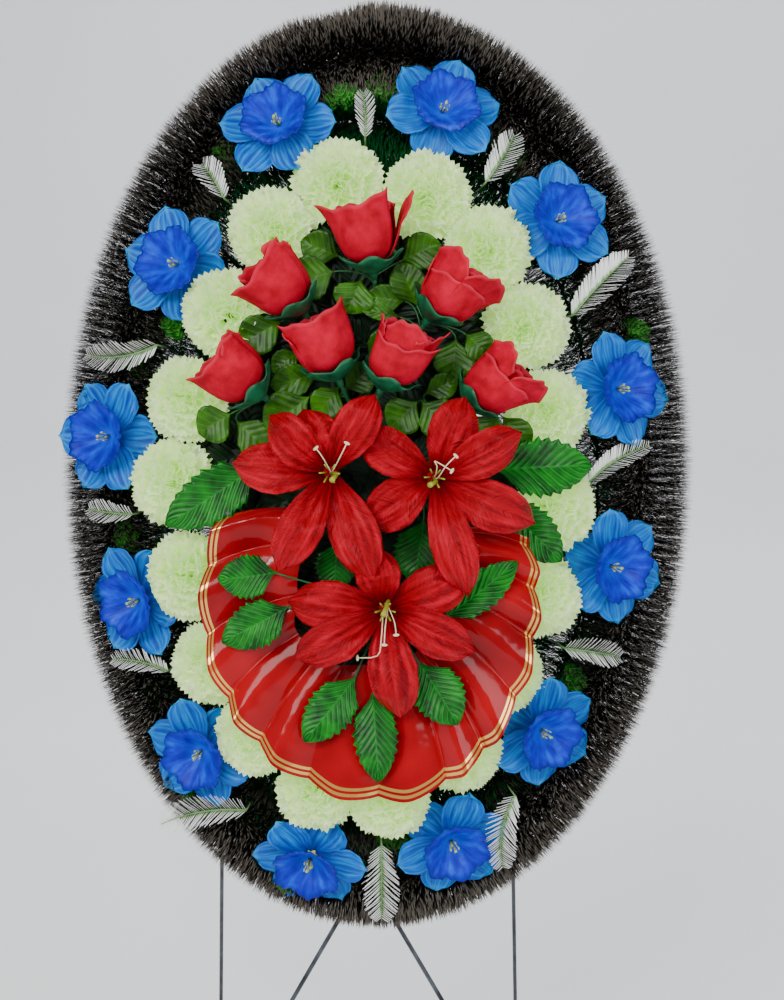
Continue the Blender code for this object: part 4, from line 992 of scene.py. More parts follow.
# Satin is a smooth weave. The lighter streaks along the petals are painted highlights of its sheen, with the
# creases breaking them up.
uv = add(tree, "ShaderNodeUVMap", uv_map="UVMap")
parts = add(tree, "ShaderNodeSeparateXYZ", {"Vector": uv.outputs["UV"]})
off_middle = add(tree, "ShaderNodeMath", {0: parts.outputs["X"], 1: 0.5}, operation="SUBTRACT")
side = add(tree, "ShaderNodeMath", {0: off_middle.outputs["Value"]}, operation="ABSOLUTE")
swept = add(tree, "ShaderNodeMath", {0: side.outputs["Value"], 1: -0.55, 2: parts.outputs["Y"]},
            operation="MULTIPLY_ADD")
ribs_at = add(tree, "ShaderNodeCombineXYZ", {"X": side.outputs["Value"], "Y": swept.outputs["Value"]})
own = add(tree, "ShaderNodeAttribute", attribute_name="shade")
stretched = add(tree, "ShaderNodeMapping", {"Vector": ribs_at.outputs["Vector"], "Scale": (3.5, 26, 1)})
creases = add(tree, "ShaderNodeTexNoise",
              {"Vector": stretched.outputs["Vector"], "W": own.outputs["Fac"], "Scale": 1.0, "Detail": 4.0,
               "Roughness": 0.6}, noise_dimensions="4D")
along_streaks = add(tree, "ShaderNodeMapping", {"Vector": uv.outputs["UV"], "Scale": (9, 2.2, 1)})
streaks = add(tree, "ShaderNodeTexNoise", {"Vector": along_streaks.outputs["Vector"], "W": own.outputs["Fac"],
                                           "Scale": 1.0, "Detail": 4.0}, noise_dimensions="4D")
# Crimson with lighter streaks along the petal: the streaks are painted highlights.
satin_tone_and_painted_streaks = add(tree, "ShaderNodeValToRGB", {"Fac": streaks.outputs["Fac"]},
                 stops=[(0.34, paint("#740008")), (0.52, paint("#A00010")), (0.72, paint("#C80C2C"))])
# Darker at the throat: painted shade where the petals close in.
foot = add(tree, "ShaderNodeMapRange", {"Value": parts.outputs["Y"], "From Min": 0.0, "From Max": 0.30,
                                        "To Min": 0.75, "To Max": 0.0})
throat_painted_shade = add(tree, "ShaderNodeMix", {0: foot.outputs["Result"], 6: satin_tone_and_painted_streaks.outputs["Color"],
                                          7: paint("#5C0008")}, data_type="RGBA")
link(tree, throat_painted_shade.outputs[2], shader, "Base Color")
shader.inputs["Roughness"].default_value = 0.27
shader.inputs["Specular IOR Level"].default_value = 0.4
shader.inputs["Specular Tint"].default_value = paint("#FF8A9A")
bump(tree, shader, creases.outputs["Fac"], 1.0, 0.0036)

filament_plastic = mottled("cream moulded filaments", 120.0, "#D9CC9A", "#F4EDD2", 0.4)

pistil_plastic, tree, shader = new_material("yellow green moulded pistil")
flow = add(tree, "ShaderNodeTexNoise", {"Scale": 90.0})
tone = add(tree, "ShaderNodeValToRGB", {"Fac": flow.outputs["Fac"]},
           stops=[(0.3, paint("#6E8A1E")), (0.7, paint("#B4B83A"))])
link(tree, tone.outputs["Color"], shader, "Base Color")
shader.inputs["Roughness"].default_value = 0.45

# %% Lily pieces
# Throat in the photograph, height proud, then each petal's direction in degrees and length in
# pixels.
LILIES = [
    (385, 610, 146, [(172, 92), (211, 98), (275, 105), (337, 94), (25, 85), (100, 60)]),
    (330, 472, 167, [(175, 92), (242, 105), (293, 110), (140, 76), (107, 62), (61, 84)]),
    (434, 477, 152, [(332, 105), (24, 92), (67, 80), (150, 85), (212, 77), (285, 118)]),
]
# Each lily's filaments: bends and tip in the photograph and heights in mm over the throat.
FILAMENTS = [
    [[(383, 612, 14), (381, 640, 32), (377, 657, 28), (357, 659, 22)],
     [(388, 606, 14), (385, 628, 36), (384, 646, 34)],
     [(386, 604, 14), (394, 622, 36), (396, 636, 34)]],
    [[(333, 470, 14), (340, 457, 34), (347, 443, 38)],
     [(330, 470, 14), (322, 456, 30), (316, 448, 28)]],
    [[(436, 474, 14), (437, 466, 32), (435, 461, 34), (452, 471, 36)],
     [(438, 478, 14), (446, 466, 30), (456, 456, 30)]],
]
PISTILS = [
    [(388, 602, 16), (383, 616, 36)], [(337, 474, 14), (332, 480, 30)], [(436, 482, 14), (430, 485, 30)],
]
LILY_FOOT = 113.5 * MM
LILY_SHARES = (0.0, 0.22, 0.50, 0.78, 1.0)
LILY_RISE = (-5, 8, 19, 18, 5)
LILY_ALONG = (0.0, 0.12, 0.30, 0.50, 0.68, 0.84, 0.95, 1.0)
LILY_WIDTH = (0.24, 0.46, 0.80, 1.0, 0.98, 0.78, 0.44, 0.05)


def lily_petal(middle, direction, length_px, inner, seed):
    """One arched petal that curls over at its tip."""
    angle = math.radians(direction)
    flat = Vector((math.cos(angle), 0, math.sin(angle)))
    aside = Vector((-math.sin(angle), 0, math.cos(angle)))
    length = length_px * LILY_PIXEL
    half_width = (25.5 if inner else 23) * MM
    layer = 0.0 if inner else 6 * MM
    rng = random.Random(seed)
    bend = rng.uniform(-7, 7) * MM
    twist = rng.uniform(-0.25, 0.25)

    def surface(across, along):
        width = half_width * np.interp(along, LILY_ALONG, LILY_WIDTH)
        high = MM * np.interp(along, LILY_SHARES, LILY_RISE) + layer * min(along * 3, 1)
        smooth = 3 * MM * math.sin(math.pi * along)
        cup = (5.5 * (1 - along * 1.7)) * MM * across**2
        groove = -2.0 * MM * math.exp(-(across / 0.13) ** 2) * math.sin(math.pi * min(along * 1.1, 1))
        edge = abs(across) ** 3 * math.sin(along * 19 + seed * 3 + (2 if across > 0 else 0)) * 2.6 * MM
        ripple = 3.2 * MM * noise.noise(Vector((across * 2.4, along * 6.5, seed * 1.9)))
        run = length * along * (1 - 0.04 * across**2) + 5 * MM
        side_shift = bend * along**2 + across * width
        lift = high + smooth + cup + groove + edge * min(along * 2, 1) + ripple * min(along * 3, 1)
        lift += twist * across * width * along
        return middle + flat * run + aside * side_shift + TOWARDS_VIEWER * lift
    return bent_grid(20, 30, surface, 0.5 * MM)


def over_throat(px, py, high, proud):
    """The place of a filament's bend, in the wreath's axes."""
    return photo_point(px, py, proud * MM + high * MM)


cream, yellow_green = [], []
for k, (px, py, proud, petals) in enumerate(LILIES):
    middle = photo_point(px, py, proud * MM)
    meshes = []
    for index, (direction, length_px) in enumerate(petals):
        body = lily_petal(middle, direction, length_px, index % 2 == 0, k * 11 + index)
        meshes.append(shade_mesh(as_mesh(body, "petal"), (k * 6 + index) * 0.37))
    throat = rod([photo_point(px, py, LILY_FOOT), middle + Vector((0, 6 * MM, 0)),
                  middle + Vector((0, -4 * MM, 0))], [3 * MM, 9 * MM, 4 * MM], 12)
    meshes.append(shade_mesh(as_mesh(throat, "throat"), 0.1))
    show(remember(joined(meshes, "petals")), f"lily_{k + 1}_petals", lily_satin, "lily", f"lily_{k + 1}")
    for bends in FILAMENTS[k]:
        points = [middle] + [over_throat(x, y, high, proud) for x, y, high in bends]
        path = [curve_through(points, step / 12) for step in range(13)]
        cream.append(rod(path, [0.6 * MM] * 13, 6))
        tip_way = (path[-1] - path[-2]).normalized()
        cross = tip_way.cross(TOWARDS_VIEWER).normalized()
        tip = [path[-1] + cross * step * MM for step in (-3.2, -2.0, 0, 2.0, 3.2)]
        cream.append(rod(tip, [0.4 * MM, 1.3 * MM, 1.5 * MM, 1.3 * MM, 0.4 * MM], 8))
    start, end = [over_throat(x, y, high, proud) for x, y, high in PISTILS[k]]
    path = [middle, start, start.lerp(end, 0.7), end]
    yellow_green.append(rod(path, [2.2 * MM, 2.0 * MM, 2.4 * MM, 3.0 * MM], 8))
    for turn in range(6):
        lean = Vector((math.cos(turn * 1.05 + k), 0, math.sin(turn * 1.05 + k)))
        root = middle + lean * 3 * MM
        yellow_green.append(rod([root, root + lean * 3.5 * MM + TOWARDS_VIEWER * 15 * MM,
                                 root + lean * 7 * MM + TOWARDS_VIEWER * 24 * MM],
                                [1.0 * MM, 0.8 * MM, 0.9 * MM], 6))
show(join(cream, "filaments"), "lily_filaments", filament_plastic, "lily")
show(join(yellow_green, "pistils"), "lily_pistils", pistil_plastic, "lily")

# %% [markdown]
# ## The ribbon
# A broad glossy ribbon with two gold lines is gathered in folds and laid in a ring round the
# lilies. As a sheet it is one grid: it goes round the ring along its length, and across its
# width it runs from the hidden inner edge to the outer edge, which swings in and out with the
# folds. The folds are round on top and pinched below, because gathered ribbon stands up in
# loops.

# %% Ribbon satin
ribbon_film, tree, shader = new_material("glossy red florist ribbon")
# Printed polypropylene ribbon is smooth and shiny, so the folds catch long streaks of light.
parts = uv_parts(tree)
drift = object_noise(tree, 14.0)
red = add(tree, "ShaderNodeValToRGB", {"Fac": drift.outputs["Fac"]},
          stops=[(0.3, paint("#80000A")), (0.7, paint("#AE0010"))])
gold_lines = add(tree, "ShaderNodeValToRGB", {"Fac": parts.outputs["Y"]},
                 stops=[(0.0, (0, 0, 0, 1)), (0.908, (1, 1, 1, 1)), (0.930, (0, 0, 0, 1)),
                        (0.950, (1, 1, 1, 1)), (0.975, (0, 0, 0, 1))])
gold_lines.color_ramp.interpolation = "CONSTANT"
lined = add(tree, "ShaderNodeMix", {0: gold_lines.outputs["Color"], 6: red.outputs["Color"],
                                    7: paint("#E2B45A")}, data_type="RGBA")
link(tree, lined.outputs[2], shader, "Base Color")
metal_share = add(tree, "ShaderNodeMath", {0: gold_lines.outputs["Color"], 1: 0.7}, operation="MULTIPLY")
link(tree, metal_share.outputs["Value"], shader, "Metallic")
shader.inputs["Roughness"].default_value = 0.13
shader.inputs["Specular IOR Level"].default_value = 0.24
# Slow buckles between folds.
buckle = object_noise(tree, 28.0)
bump(tree, shader, buckle.outputs["Fac"], 0.5, 0.004)

# %% Ribbon sheet
RIBBON_MIDDLE = (5 * MM, -131 * MM)
RIBBON_LEFT = 187 * MM
RIBBON_RIGHT = 160 * MM
RIBBON_DOWN = 205 * MM
RIBBON_INSIDE_AT = (124, 150, 175, 195, 225, 250, 300, 350, 385, 414)
RIBBON_INSIDE = (112, 96, 88, 94, 86, 66, 60, 60, 74, 88)
RIBBON_FROM = math.radians(155)
RIBBON_TO = math.radians(383)
RIBBON_FOLDS = 24
RIBBON_WAVE = 7 * MM
RIBBON_PROUD = 130.8 * MM


def ribbon_point(across, along):
    """A point of the gathered ribbon: across goes round the ring, along from inside to outside."""
    column = (across + 1) / 2 * RIBBON_FOLDS
    first = RIBBON_FROM - math.radians(4 + 27 * (1 - along))
    last = RIBBON_TO + math.radians(30) * (1 - along)
    angle = first + (last - first) * column / RIBBON_FOLDS
    half_width = RIBBON_LEFT if math.cos(angle) < 0 else RIBBON_RIGHT
    reach = 1 / math.hypot(math.cos(angle) / half_width, math.sin(angle) / RIBBON_DOWN)
    uneven = 0.35 * noise.noise(Vector((column * 0.35, along * 0.8, 3.0)))
    swing = column + 0.30 * math.sin(column * 0.83) + uneven
    ridge = 2 * abs(math.sin(math.pi * swing / 2)) ** 0.85 - 1
    scallop = 3.2 * MM * ridge
    inside = MM * np.interp(math.degrees(angle), RIBBON_INSIDE_AT, RIBBON_INSIDE)
    distance = inside + (reach + scallop - inside) * along
    share = 0.5 + 0.5 * along
    buckles = 1.6 * MM * noise.noise(Vector((column * 0.9, along * 3.2, 7.0)))
    lean = 0.020 * math.sin(math.pi * swing + 0.6) * along
    proud = RIBBON_PROUD + RIBBON_WAVE * share * ridge + buckles * math.sin(math.pi * along)
    return Vector((RIBBON_MIDDLE[0] + distance * math.cos(angle + lean), -proud,
                   RIBBON_MIDDLE[1] + distance * math.sin(angle + lean)))


sheet_body = bent_grid(480, 26, ribbon_point)
ribbon_area = sum(face.calc_area() for face in sheet_body.faces)
cloth_mesh = as_mesh(sheet_body, "ribbon cloth")
ribbon_piece = show(remember(cloth_mesh), "ribbon_cloth", ribbon_film, "satin_ribbon", "ribbon")


# %% [markdown]
# ## The leaves of the two bunches
# Each bunch is sprays of pressed polyester leaves on wired plastic stems. A leaf is a grid
# along a bent line: the rose leaves are oval and smooth with a pressed vein net, the lily
# leaves long, toothed and ribbed like a herringbone. The veins are real dents in the mesh
# where they are broad, and the material adds the fine ones.

# %% Leaf finishes
def pressed_leaf(name, dark, light, vein, ribs, roughness, pressed=0.55):
    """Pressed, waxed leaf cloth with side veins that leave the middle at a slant."""
    material, tree, shader = new_material(name)
    parts = uv_parts(tree)
    off_middle = add(tree, "ShaderNodeMath", {0: parts.outputs["X"], 1: 0.5}, operation="SUBTRACT")
    side = add(tree, "ShaderNodeMath", {0: off_middle.outputs["Value"]}, operation="ABSOLUTE")
    swept = add(tree, "ShaderNodeMath", {0: side.outputs["Value"], 1: -0.45, 2: parts.outputs["Y"]},
                operation="MULTIPLY_ADD")
    wave_in = add(tree, "ShaderNodeMath", {0: swept.outputs["Value"], 1: ribs * math.tau},
                  operation="MULTIPLY")
    rib = add(tree, "ShaderNodeMath", {0: wave_in.outputs["Value"]}, operation="SINE")
    rib_line = add(tree, "ShaderNodeMapRange", {"Value": rib.outputs["Value"],
                                                "From Min": 0.80, "From Max": 1.0})
    midrib = add(tree, "ShaderNodeMapRange", {"Value": side.outputs["Value"], "From Min": 0.0,
                                              "From Max": 0.035, "To Min": 1.0, "To Max": 0.0})
    lines = add(tree, "ShaderNodeMath", {0: rib_line.outputs["Result"], 1: midrib.outputs["Result"]},
                operation="MAXIMUM")
    patches = object_noise(tree, 55.0, 3.0)
    green = add(tree, "ShaderNodeValToRGB", {"Fac": patches.outputs["Fac"]},
                stops=[(0.34, paint(dark)), (0.66, paint(light))])
    line_share = add(tree, "ShaderNodeMath", {0: lines.outputs["Value"], 1: 0.8 * pressed},
                     operation="MULTIPLY")
    lined = add(tree, "ShaderNodeMix", {0: line_share.outputs["Value"], 6: green.outputs["Color"],
                                        7: paint(vein)}, data_type="RGBA")
    link(tree, lined.outputs[2], shader, "Base Color")
    shader.inputs["Roughness"].default_value = roughness
    shader.inputs["Specular IOR Level"].default_value = 0.25
    bump(tree, shader, rib.outputs["Value"], pressed, 0.0012)
    return material


rose_leaf_cloth = pressed_leaf("olive green pressed leaf cloth", "#173F02", "#357004", "#6C9C1E", 6, 0.36,
                               0.22)
lily_leaf_cloth = pressed_leaf("deep green waxed leaf cloth", "#033408", "#0A7A12", "#1FA02A", 11, 0.32)
# Near-black green: painted shade deep in the bunches.
filler_leaf_painted_shade = pressed_leaf("filler leaf cloth in painted shade", "#020E05", "#04260C", "#0A3414", 7, 0.5)

# %% Leaf shapes
# Stalk end and tip in the photograph, width in pixels, height proud in mm.
ROSE_LEAVES = [
    (341, 258, 302, 242, 32, 104), (336, 272, 292, 283, 40, 116), (362, 280, 348, 314, 38, 104),
    (283, 321, 240, 347, 36, 112), (407, 302, 366, 297, 26, 104), (401, 262, 441, 245, 34, 104),
    (418, 308, 399, 263, 32, 104), (456, 338, 452, 381, 38, 104), (465, 334, 490, 357, 28, 104),
    (368, 364, 399, 330, 30, 104), (418, 401, 389, 428, 36, 104), (421, 401, 452, 433, 38, 108),
    (473, 415, 498, 444, 32, 104), (502, 416, 529, 449, 28, 104), (320, 374, 271, 386, 30, 104),
    (311, 396, 265, 427, 42, 110), (232, 413, 199, 433, 36, 122), (236, 420, 275, 453, 34, 104),
    (340, 386, 315, 416, 30, 104), (344, 390, 373, 366, 30, 104), (424, 394, 458, 379, 24, 104),
    (300, 352, 273, 372, 24, 104), (402, 318, 360, 308, 14, 108),
]
LILY_LEAVES = [
    (262, 462, 165, 525, 44, 122), (492, 470, 592, 466, 48, 112), (500, 500, 562, 562, 40, 114),
    (338, 540, 334, 592, 34, 104), (424, 518, 414, 584, 42, 104), (278, 572, 217, 579, 36, 140),
    (290, 606, 221, 643, 38, 138), (440, 622, 518, 562, 32, 138), (357, 676, 303, 744, 38, 140),
    (372, 690, 378, 786, 36, 138), (418, 662, 458, 727, 42, 138),
]
OVAL_ALONG = (0.0, 0.08, 0.25, 0.48, 0.70, 0.86, 0.96, 1.0)
OVAL_WIDTH = (0.08, 0.30, 0.80, 1.0, 0.88, 0.58, 0.24, 0.03)
LONG_ALONG = (0.0, 0.06, 0.20, 0.42, 0.62, 0.80, 0.93, 1.0)
LONG_WIDTH = (0.08, 0.34, 0.82, 1.0, 0.90, 0.66, 0.34, 0.03)
LEAF_ARCH = 9 * MM


def leaf(start, tip, half_width, toothed, seed, arch=LEAF_ARCH, grid=(12, 22)):
    """A leaf from its stalk to its tip, with raised sides, a bent tip and an oval or toothed edge."""
    along_axis = tip - start
    length = along_axis.length
    way = along_axis.normalized()
    face = (TOWARDS_VIEWER - way * way.dot(TOWARDS_VIEWER)).normalized()
    aside = way.cross(face)
    widths = (LONG_ALONG, LONG_WIDTH) if toothed else (OVAL_ALONG, OVAL_WIDTH)
    rng = random.Random(seed)
    swerve = rng.uniform(-0.08, 0.08)
    ribs = 11 if toothed else 9
    rib_height = (0.35 if toothed else 0.12) * MM

    def surface(across, along):
        width = half_width * np.interp(along, *widths)
        if toothed:
            saw = (along * 9) % 1.0
            teeth = 0.22 * saw * min(1.0, 4 * along, 5 * (1 - along)) * abs(across) ** 3
        else:
            teeth = 0.05 * ((along * 14) % 1.0) * abs(across) ** 3
        slant = along + 0.10 * abs(across) * (1 - along)
        fold = 0.20 * width * abs(across)
        rib = rib_height * math.sin((along - 0.225 * abs(across)) * ribs * math.tau)
        rib *= min(1, 3 * abs(across))
        wave = 1.8 * MM * noise.noise(Vector((across * 1.3, along * 3.0, seed * 2.3)))
        lift = arch * 2 * along * (1 - along) + fold + rib + wave * min(along * 3, 1)
        side = across * width * (1 + teeth) + swerve * length * along * (1 - along)
        return start + way * length * slant + aside * side + face * lift
    return bent_grid(*grid, surface, 0.35 * MM)


def leaf_set(leaves, pixel, toothed):
    """Leaves and their stalk ends from a table of pixels."""
    bodies, ends = [], []
    for k, (px, py, tip_px, tip_py, width_px, proud) in enumerate(leaves):
        start = photo_point(px, py, (proud - 2) * MM)
        tip = photo_point(tip_px, tip_py, proud * MM)
        bodies.append(leaf(start, tip, width_px * pixel / 2 * 1.12, toothed, k + 3,
                           grid=(12, 36) if toothed else (12, 22)))
        ends.append((start, (tip - start).normalized()))
    return bodies, ends


def bend_between(start, over, end, steps):
    """Points on a parabola from start to end that leans towards a third point."""
    path = []
    for k in range(steps + 1):
        t = k / steps
        path.append(start * (1 - t) ** 2 + over * 2 * t * (1 - t) + end * t**2)
    return path


# %% The roses' bunch
ROSE_ROOT = photo_point(365, 425, 60 * MM)
LILY_ROOT = photo_point(383, 530, 60 * MM)
STEM_BASE_Y = -3 * MM
stems = [rod([Vector((STAND_AXIS, STEM_BASE_Y, ROSE_ROOT.z)), Vector((STAND_AXIS, -24 * MM, ROSE_ROOT.z)),
              ROSE_ROOT], [3 * MM] * 3, 10)]
twigs = [ROSE_ROOT]
for px, py, direction, length, proud in ROSES:
    foot = photo_point(px, py, proud)
    axis = rose_axis(direction, ROSE_RISE)
    end = foot - axis * 13 * MM
    over = foot - axis * 60 * MM - TOWARDS_VIEWER * 40 * MM
    path = bend_between(ROSE_ROOT, over, end, 10)
    stems.append(rod(path, [2.2 * MM] * len(path), 8))
    twigs += path[3:]
bodies, ends = leaf_set(ROSE_LEAVES, HEAD_PIXEL, False)
for start, way in ends:
    twig = min(twigs, key=lambda point: (point - start).length)
    stems.append(rod(bend_between(twig, start - way * 12 * MM, start + way * 4 * MM, 5), [0.9 * MM] * 6, 6))
show(remember(join(bodies, "leaves")), "rose_leaves", rose_leaf_cloth, "green_leaf", "rose_greenery")
show(remember(join(stems, "stems")), "rose_stems", stem_plastic, "green_leaf")

# %% The lilies' bunch
stems = [rod([Vector((STAND_AXIS, STEM_BASE_Y, LILY_ROOT.z)), Vector((STAND_AXIS, -24 * MM, LILY_ROOT.z)),
              LILY_ROOT], [3 * MM] * 3, 10)]
twigs = [LILY_ROOT]
for px, py, _, _ in LILIES:
    end = photo_point(px, py, 112 * MM)
    path = bend_between(LILY_ROOT, Vector((end.x, LILY_ROOT.y, end.z)), end, 10)
    stems.append(rod(path, [2.4 * MM] * len(path), 8))
    twigs += path[3:-1]
bodies, ends = leaf_set(LILY_LEAVES, HEAD_PIXEL, True)
ring_middle = Vector((RIBBON_MIDDLE[0], 0, RIBBON_MIDDLE[1]))
for k, (start, way) in enumerate(ends):
    if k < 5:
        twig = min(twigs, key=lambda point: (point - start).length)
        path = bend_between(twig, start - way * 10 * MM, start + way * 5 * MM, 6)
    else:
        flat = Vector((start.x, 0, start.z)) - ring_middle
        inside = ring_middle + flat.normalized() * 44 * MM
        inside.y = start.y
        low = inside - TOWARDS_VIEWER * 45 * MM
        twig = min(twigs, key=lambda point: (point - low).length)
        path = [twig, low, inside, start + way * 5 * MM]
        path = [curve_through(path, step / 12) for step in range(13)]
    stems.append(rod(path, [1.1 * MM] * len(path), 6))
show(remember(join(bodies, "leaves")), "lily_leaves", lily_leaf_cloth, "green_leaf", "lily_greenery")
show(remember(join(stems, "stems")), "lily_stems", stem_plastic, "green_leaf")

# %% [markdown]
# ## Filler leaves
# Between the buds, and through the ring of the ribbon, the photograph shows only dark green.
# On the real wreath the backs of the sprays fill that space. Here a set of dark leaves fans out
# low in each bunch, clear of the openings of the wire frame behind. Their near-black green is painted shade.

# %% Filler leaves
# Middle in the photograph, half width and half height in mm, number of leaves, least and
# greatest height proud in mm, and seed.
FILLERS = [
    (366, 345, 135, 120, 90, 66, 94, 1), (370, 470, 150, 60, 56, 64, 92, 3),
    (362, 345, 60, 60, 44, 60, 84, 4), (246, 452, 46, 70, 34, 60, 84, 5),
    (486, 510, 50, 60, 34, 60, 84, 6), (384, 545, 110, 90, 56, 64, 96, 2),
    (372, 640, 85, 75, 60, 64, 96, 7),
]
GOLDEN_TURN = 0.381966


def filler(px, py, half_width, half_height, count, low, high, seed):
    """Dark leaves that fan out from the middle of a bunch at several depths."""
    middle = photo_point(px, py, 0)
    spread_x, spread_z = half_width * MM, half_height * MM
    rng = random.Random(seed)
    bodies = []
    for k in range(count):
        turn = math.tau * k * GOLDEN_TURN
        share = math.sqrt((k + 0.5) / count)
        flat = Vector((math.cos(turn) * spread_x * share, 0, math.sin(turn) * spread_z * share))
        depth = -rng.uniform(low, high) * MM
        start = middle + flat * 0.55 - flat.normalized() * 22 * MM
        start.y = depth + 4 * MM
        tip = middle + flat + flat.normalized() * 30 * MM
        tip.y = depth
        bodies.append(leaf(start, tip, rng.uniform(17, 23) * MM, False, seed + k, 5 * MM, (4, 9)))
    return bodies


fillers = []
for entry in FILLERS:
    fillers += filler(*entry)
show(remember(join(fillers, "fillers")), "filler_leaves", filler_leaf_painted_shade, "green_leaf")

# %% [markdown]
# ## The white-barbed fronds
# The fronds between the daffodils are moulded plastic: a rib with two rows of thin, flat barbs,
# green at the rib and flocked white towards the tips. A barb is a narrow tapering blade, copied
# along a bent rib and turned to follow it.

# %% Frond plastic
frond_plastic, tree, shader = new_material("white tipped moulded frond")
parts = uv_parts(tree)
own = add(tree, "ShaderNodeAttribute", attribute_name="shade")
start_white = add(tree, "ShaderNodeMath", {0: own.outputs["Fac"], 1: 0.14, 2: parts.outputs["Y"]},
                  operation="MULTIPLY_ADD")
frond_tone = add(tree, "ShaderNodeValToRGB", {"Fac": start_white.outputs["Value"]},
                 stops=[(0.03, paint("#2F7A1E")), (0.16, paint("#9CC088")), (0.30, paint("#EEF4EC")),
                        (1.0, paint("#FFFFFF"))])
link(tree, frond_tone.outputs["Color"], shader, "Base Color")
shader.inputs["Roughness"].default_value = 0.55

# %% Fronds
# Foot and tip in the photograph, height proud, sideways bow in mm, barb length in mm, share of
# green at the rib.
FERNS = [
    (366, 140, 364, 96, 56, 2, 17),
    (486, 184, 514, 138, 56, 3, 23),
    (572, 316, 628, 258, 56, -4, 25),
    (587, 485, 650, 446, 56, -12, 17),
    (566, 650, 622, 659, 56, -3, 20),
    (516, 800, 504, 874, 62, 16, 24),
    (381, 850, 381, 926, 56, 0, 26),
    (244, 814, 158, 828, 56, 14, 24),
    (166, 672, 110, 660, 56, 9, 17),
    (132, 514, 88, 508, 56, -2, 17),
    (158, 345, 88, 355, 56, -13, 22),
    (226, 200, 204, 166, 56, 3, 22),
]


def barb():
    """A flat tapering blade of unit length along +Z."""
    def surface(across, along):
        width = 0.065 * (1 - 0.45 * along)
        return Vector((across * width, 0.06 * along**2, along))
    return as_mesh(bent_grid(1, 3, surface, 0.012), "barb")


barb_shape = barb()
for k, (px, py, tip_px, tip_py, proud, bow, barb_length) in enumerate(FERNS):
    rng = random.Random(k + 71)
    foot = photo_point(px, py, proud * MM)
    tip = photo_point(tip_px, tip_py, (proud + 4) * MM)
    out = outward(DAFFODIL_OVAL, foot)
    way = (tip - foot).normalized()
    aside = way.cross(TOWARDS_VIEWER)
    seat = Vector((foot.x, -GARLAND_TOP, foot.z)) - out * 12 * MM
    bent = bend_between(foot, (foot + tip) / 2 + TOWARDS_VIEWER * 8 * MM + aside * bow * MM, tip, 16)
    rib_path = [seat, seat.lerp(foot, 0.6) + TOWARDS_VIEWER * 4 * MM] + bent
    rib = rod(rib_path, [1.0 * MM] * 2 + [1.1 * MM * (1 - 0.75 * s / 16) for s in range(17)], 6)
    places = []
    length = (tip - foot).length
    rows = max(14, round(length / (2.5 * MM)))
    for row in range(rows):
        share = row / rows
        at = curve_through(bent, share)
        back_point = curve_through(bent, max(share - 0.03, 0))
        front_point = curve_through(bent, min(share + 0.03, 1))
        ahead = (front_point - back_point).normalized()
        square = ahead.cross(TOWARDS_VIEWER).normalized()
        reach = barb_length * MM * math.sin(math.pi * (0.16 + 0.80 * share)) ** 0.7
        for hand in (-1, 1):
            lean = math.radians(rng.uniform(42, 52))
            direction = (ahead * math.cos(lean) + square * hand * math.sin(lean)
                         + TOWARDS_VIEWER * rng.uniform(0.05, 0.28)).normalized()
            places.append((0, pointed_along(at, direction, reach * rng.uniform(0.92, 1.05), 22 * MM)))
    mesh = copies([barb_shape], places, "barbs", rng)
    rib_mesh = shade_mesh(as_mesh(rib, "rib"), 0.0)
    for layer in rib_mesh.uv_layers[0].uv:
        layer.vector = (0.5, 0.12)
    number = f"{k + 1:02d}"
    show(remember(joined([mesh, rib_mesh], "frond")), f"frond_{number}", frond_plastic, "fern",
         f"fern_{number}")


# %% [markdown]
# ## The two garlands
# A needle garland is plastic film cut into a fringe and caught between two twisted wires, so
# its needles stand out all round in a close screw. Each needle is only a strip folded along
# its middle, two triangles, because there are tens of thousands. They follow the screw, so
# that they gather in the rows the photograph shows, and a needle that would run into a petal
# or a frond is cut short there: a ray is sent out along it, and where it hits something, the
# needle ends before it.

# %% Needle films
def needle_film(name, stops, roughness):
    """Film needles whose colour changes from foot to tip, with each needle a little different."""
    material, tree, shader = new_material(name)
    parts = uv_parts(tree)
    own = add(tree, "ShaderNodeAttribute", attribute_name="shade")
    moved = add(tree, "ShaderNodeMath", {0: own.outputs["Fac"], 1: 0.24, 2: parts.outputs["Y"]},
                operation="MULTIPLY_ADD")
    tone = add(tree, "ShaderNodeValToRGB", {"Fac": moved.outputs["Value"]}, stops=stops)
    link(tree, tone.outputs["Color"], shader, "Base Color")
    shader.inputs["Roughness"].default_value = roughness
    shader.inputs["Specular IOR Level"].default_value = 0.08
    return material


black_film = needle_film("black and silver garland film",
                         [(0.0, paint("#030304")), (0.78, paint("#070709")), (0.93, paint("#2C2925")),
                          (1.0, paint("#6E675E"))], 0.7)
green_film = needle_film("dark green garland film",
                         [(0.0, paint("#04150A")), (0.5, paint("#08341A")), (1.0, paint("#0E5026"))], 0.7)
lacquered_wire, tree, shader = new_material("black lacquered garland wire")
wear = object_noise(tree, 200.0)
tone = add(tree, "ShaderNodeValToRGB", {"Fac": wear.outputs["Fac"]},
           stops=[(0.3, paint("#08090A")), (0.7, paint("#16191B"))])
link(tree, tone.outputs["Color"], shader, "Base Color")
shader.inputs["Specular IOR Level"].default_value = 0.2
shader.inputs["Roughness"].default_value = 0.6


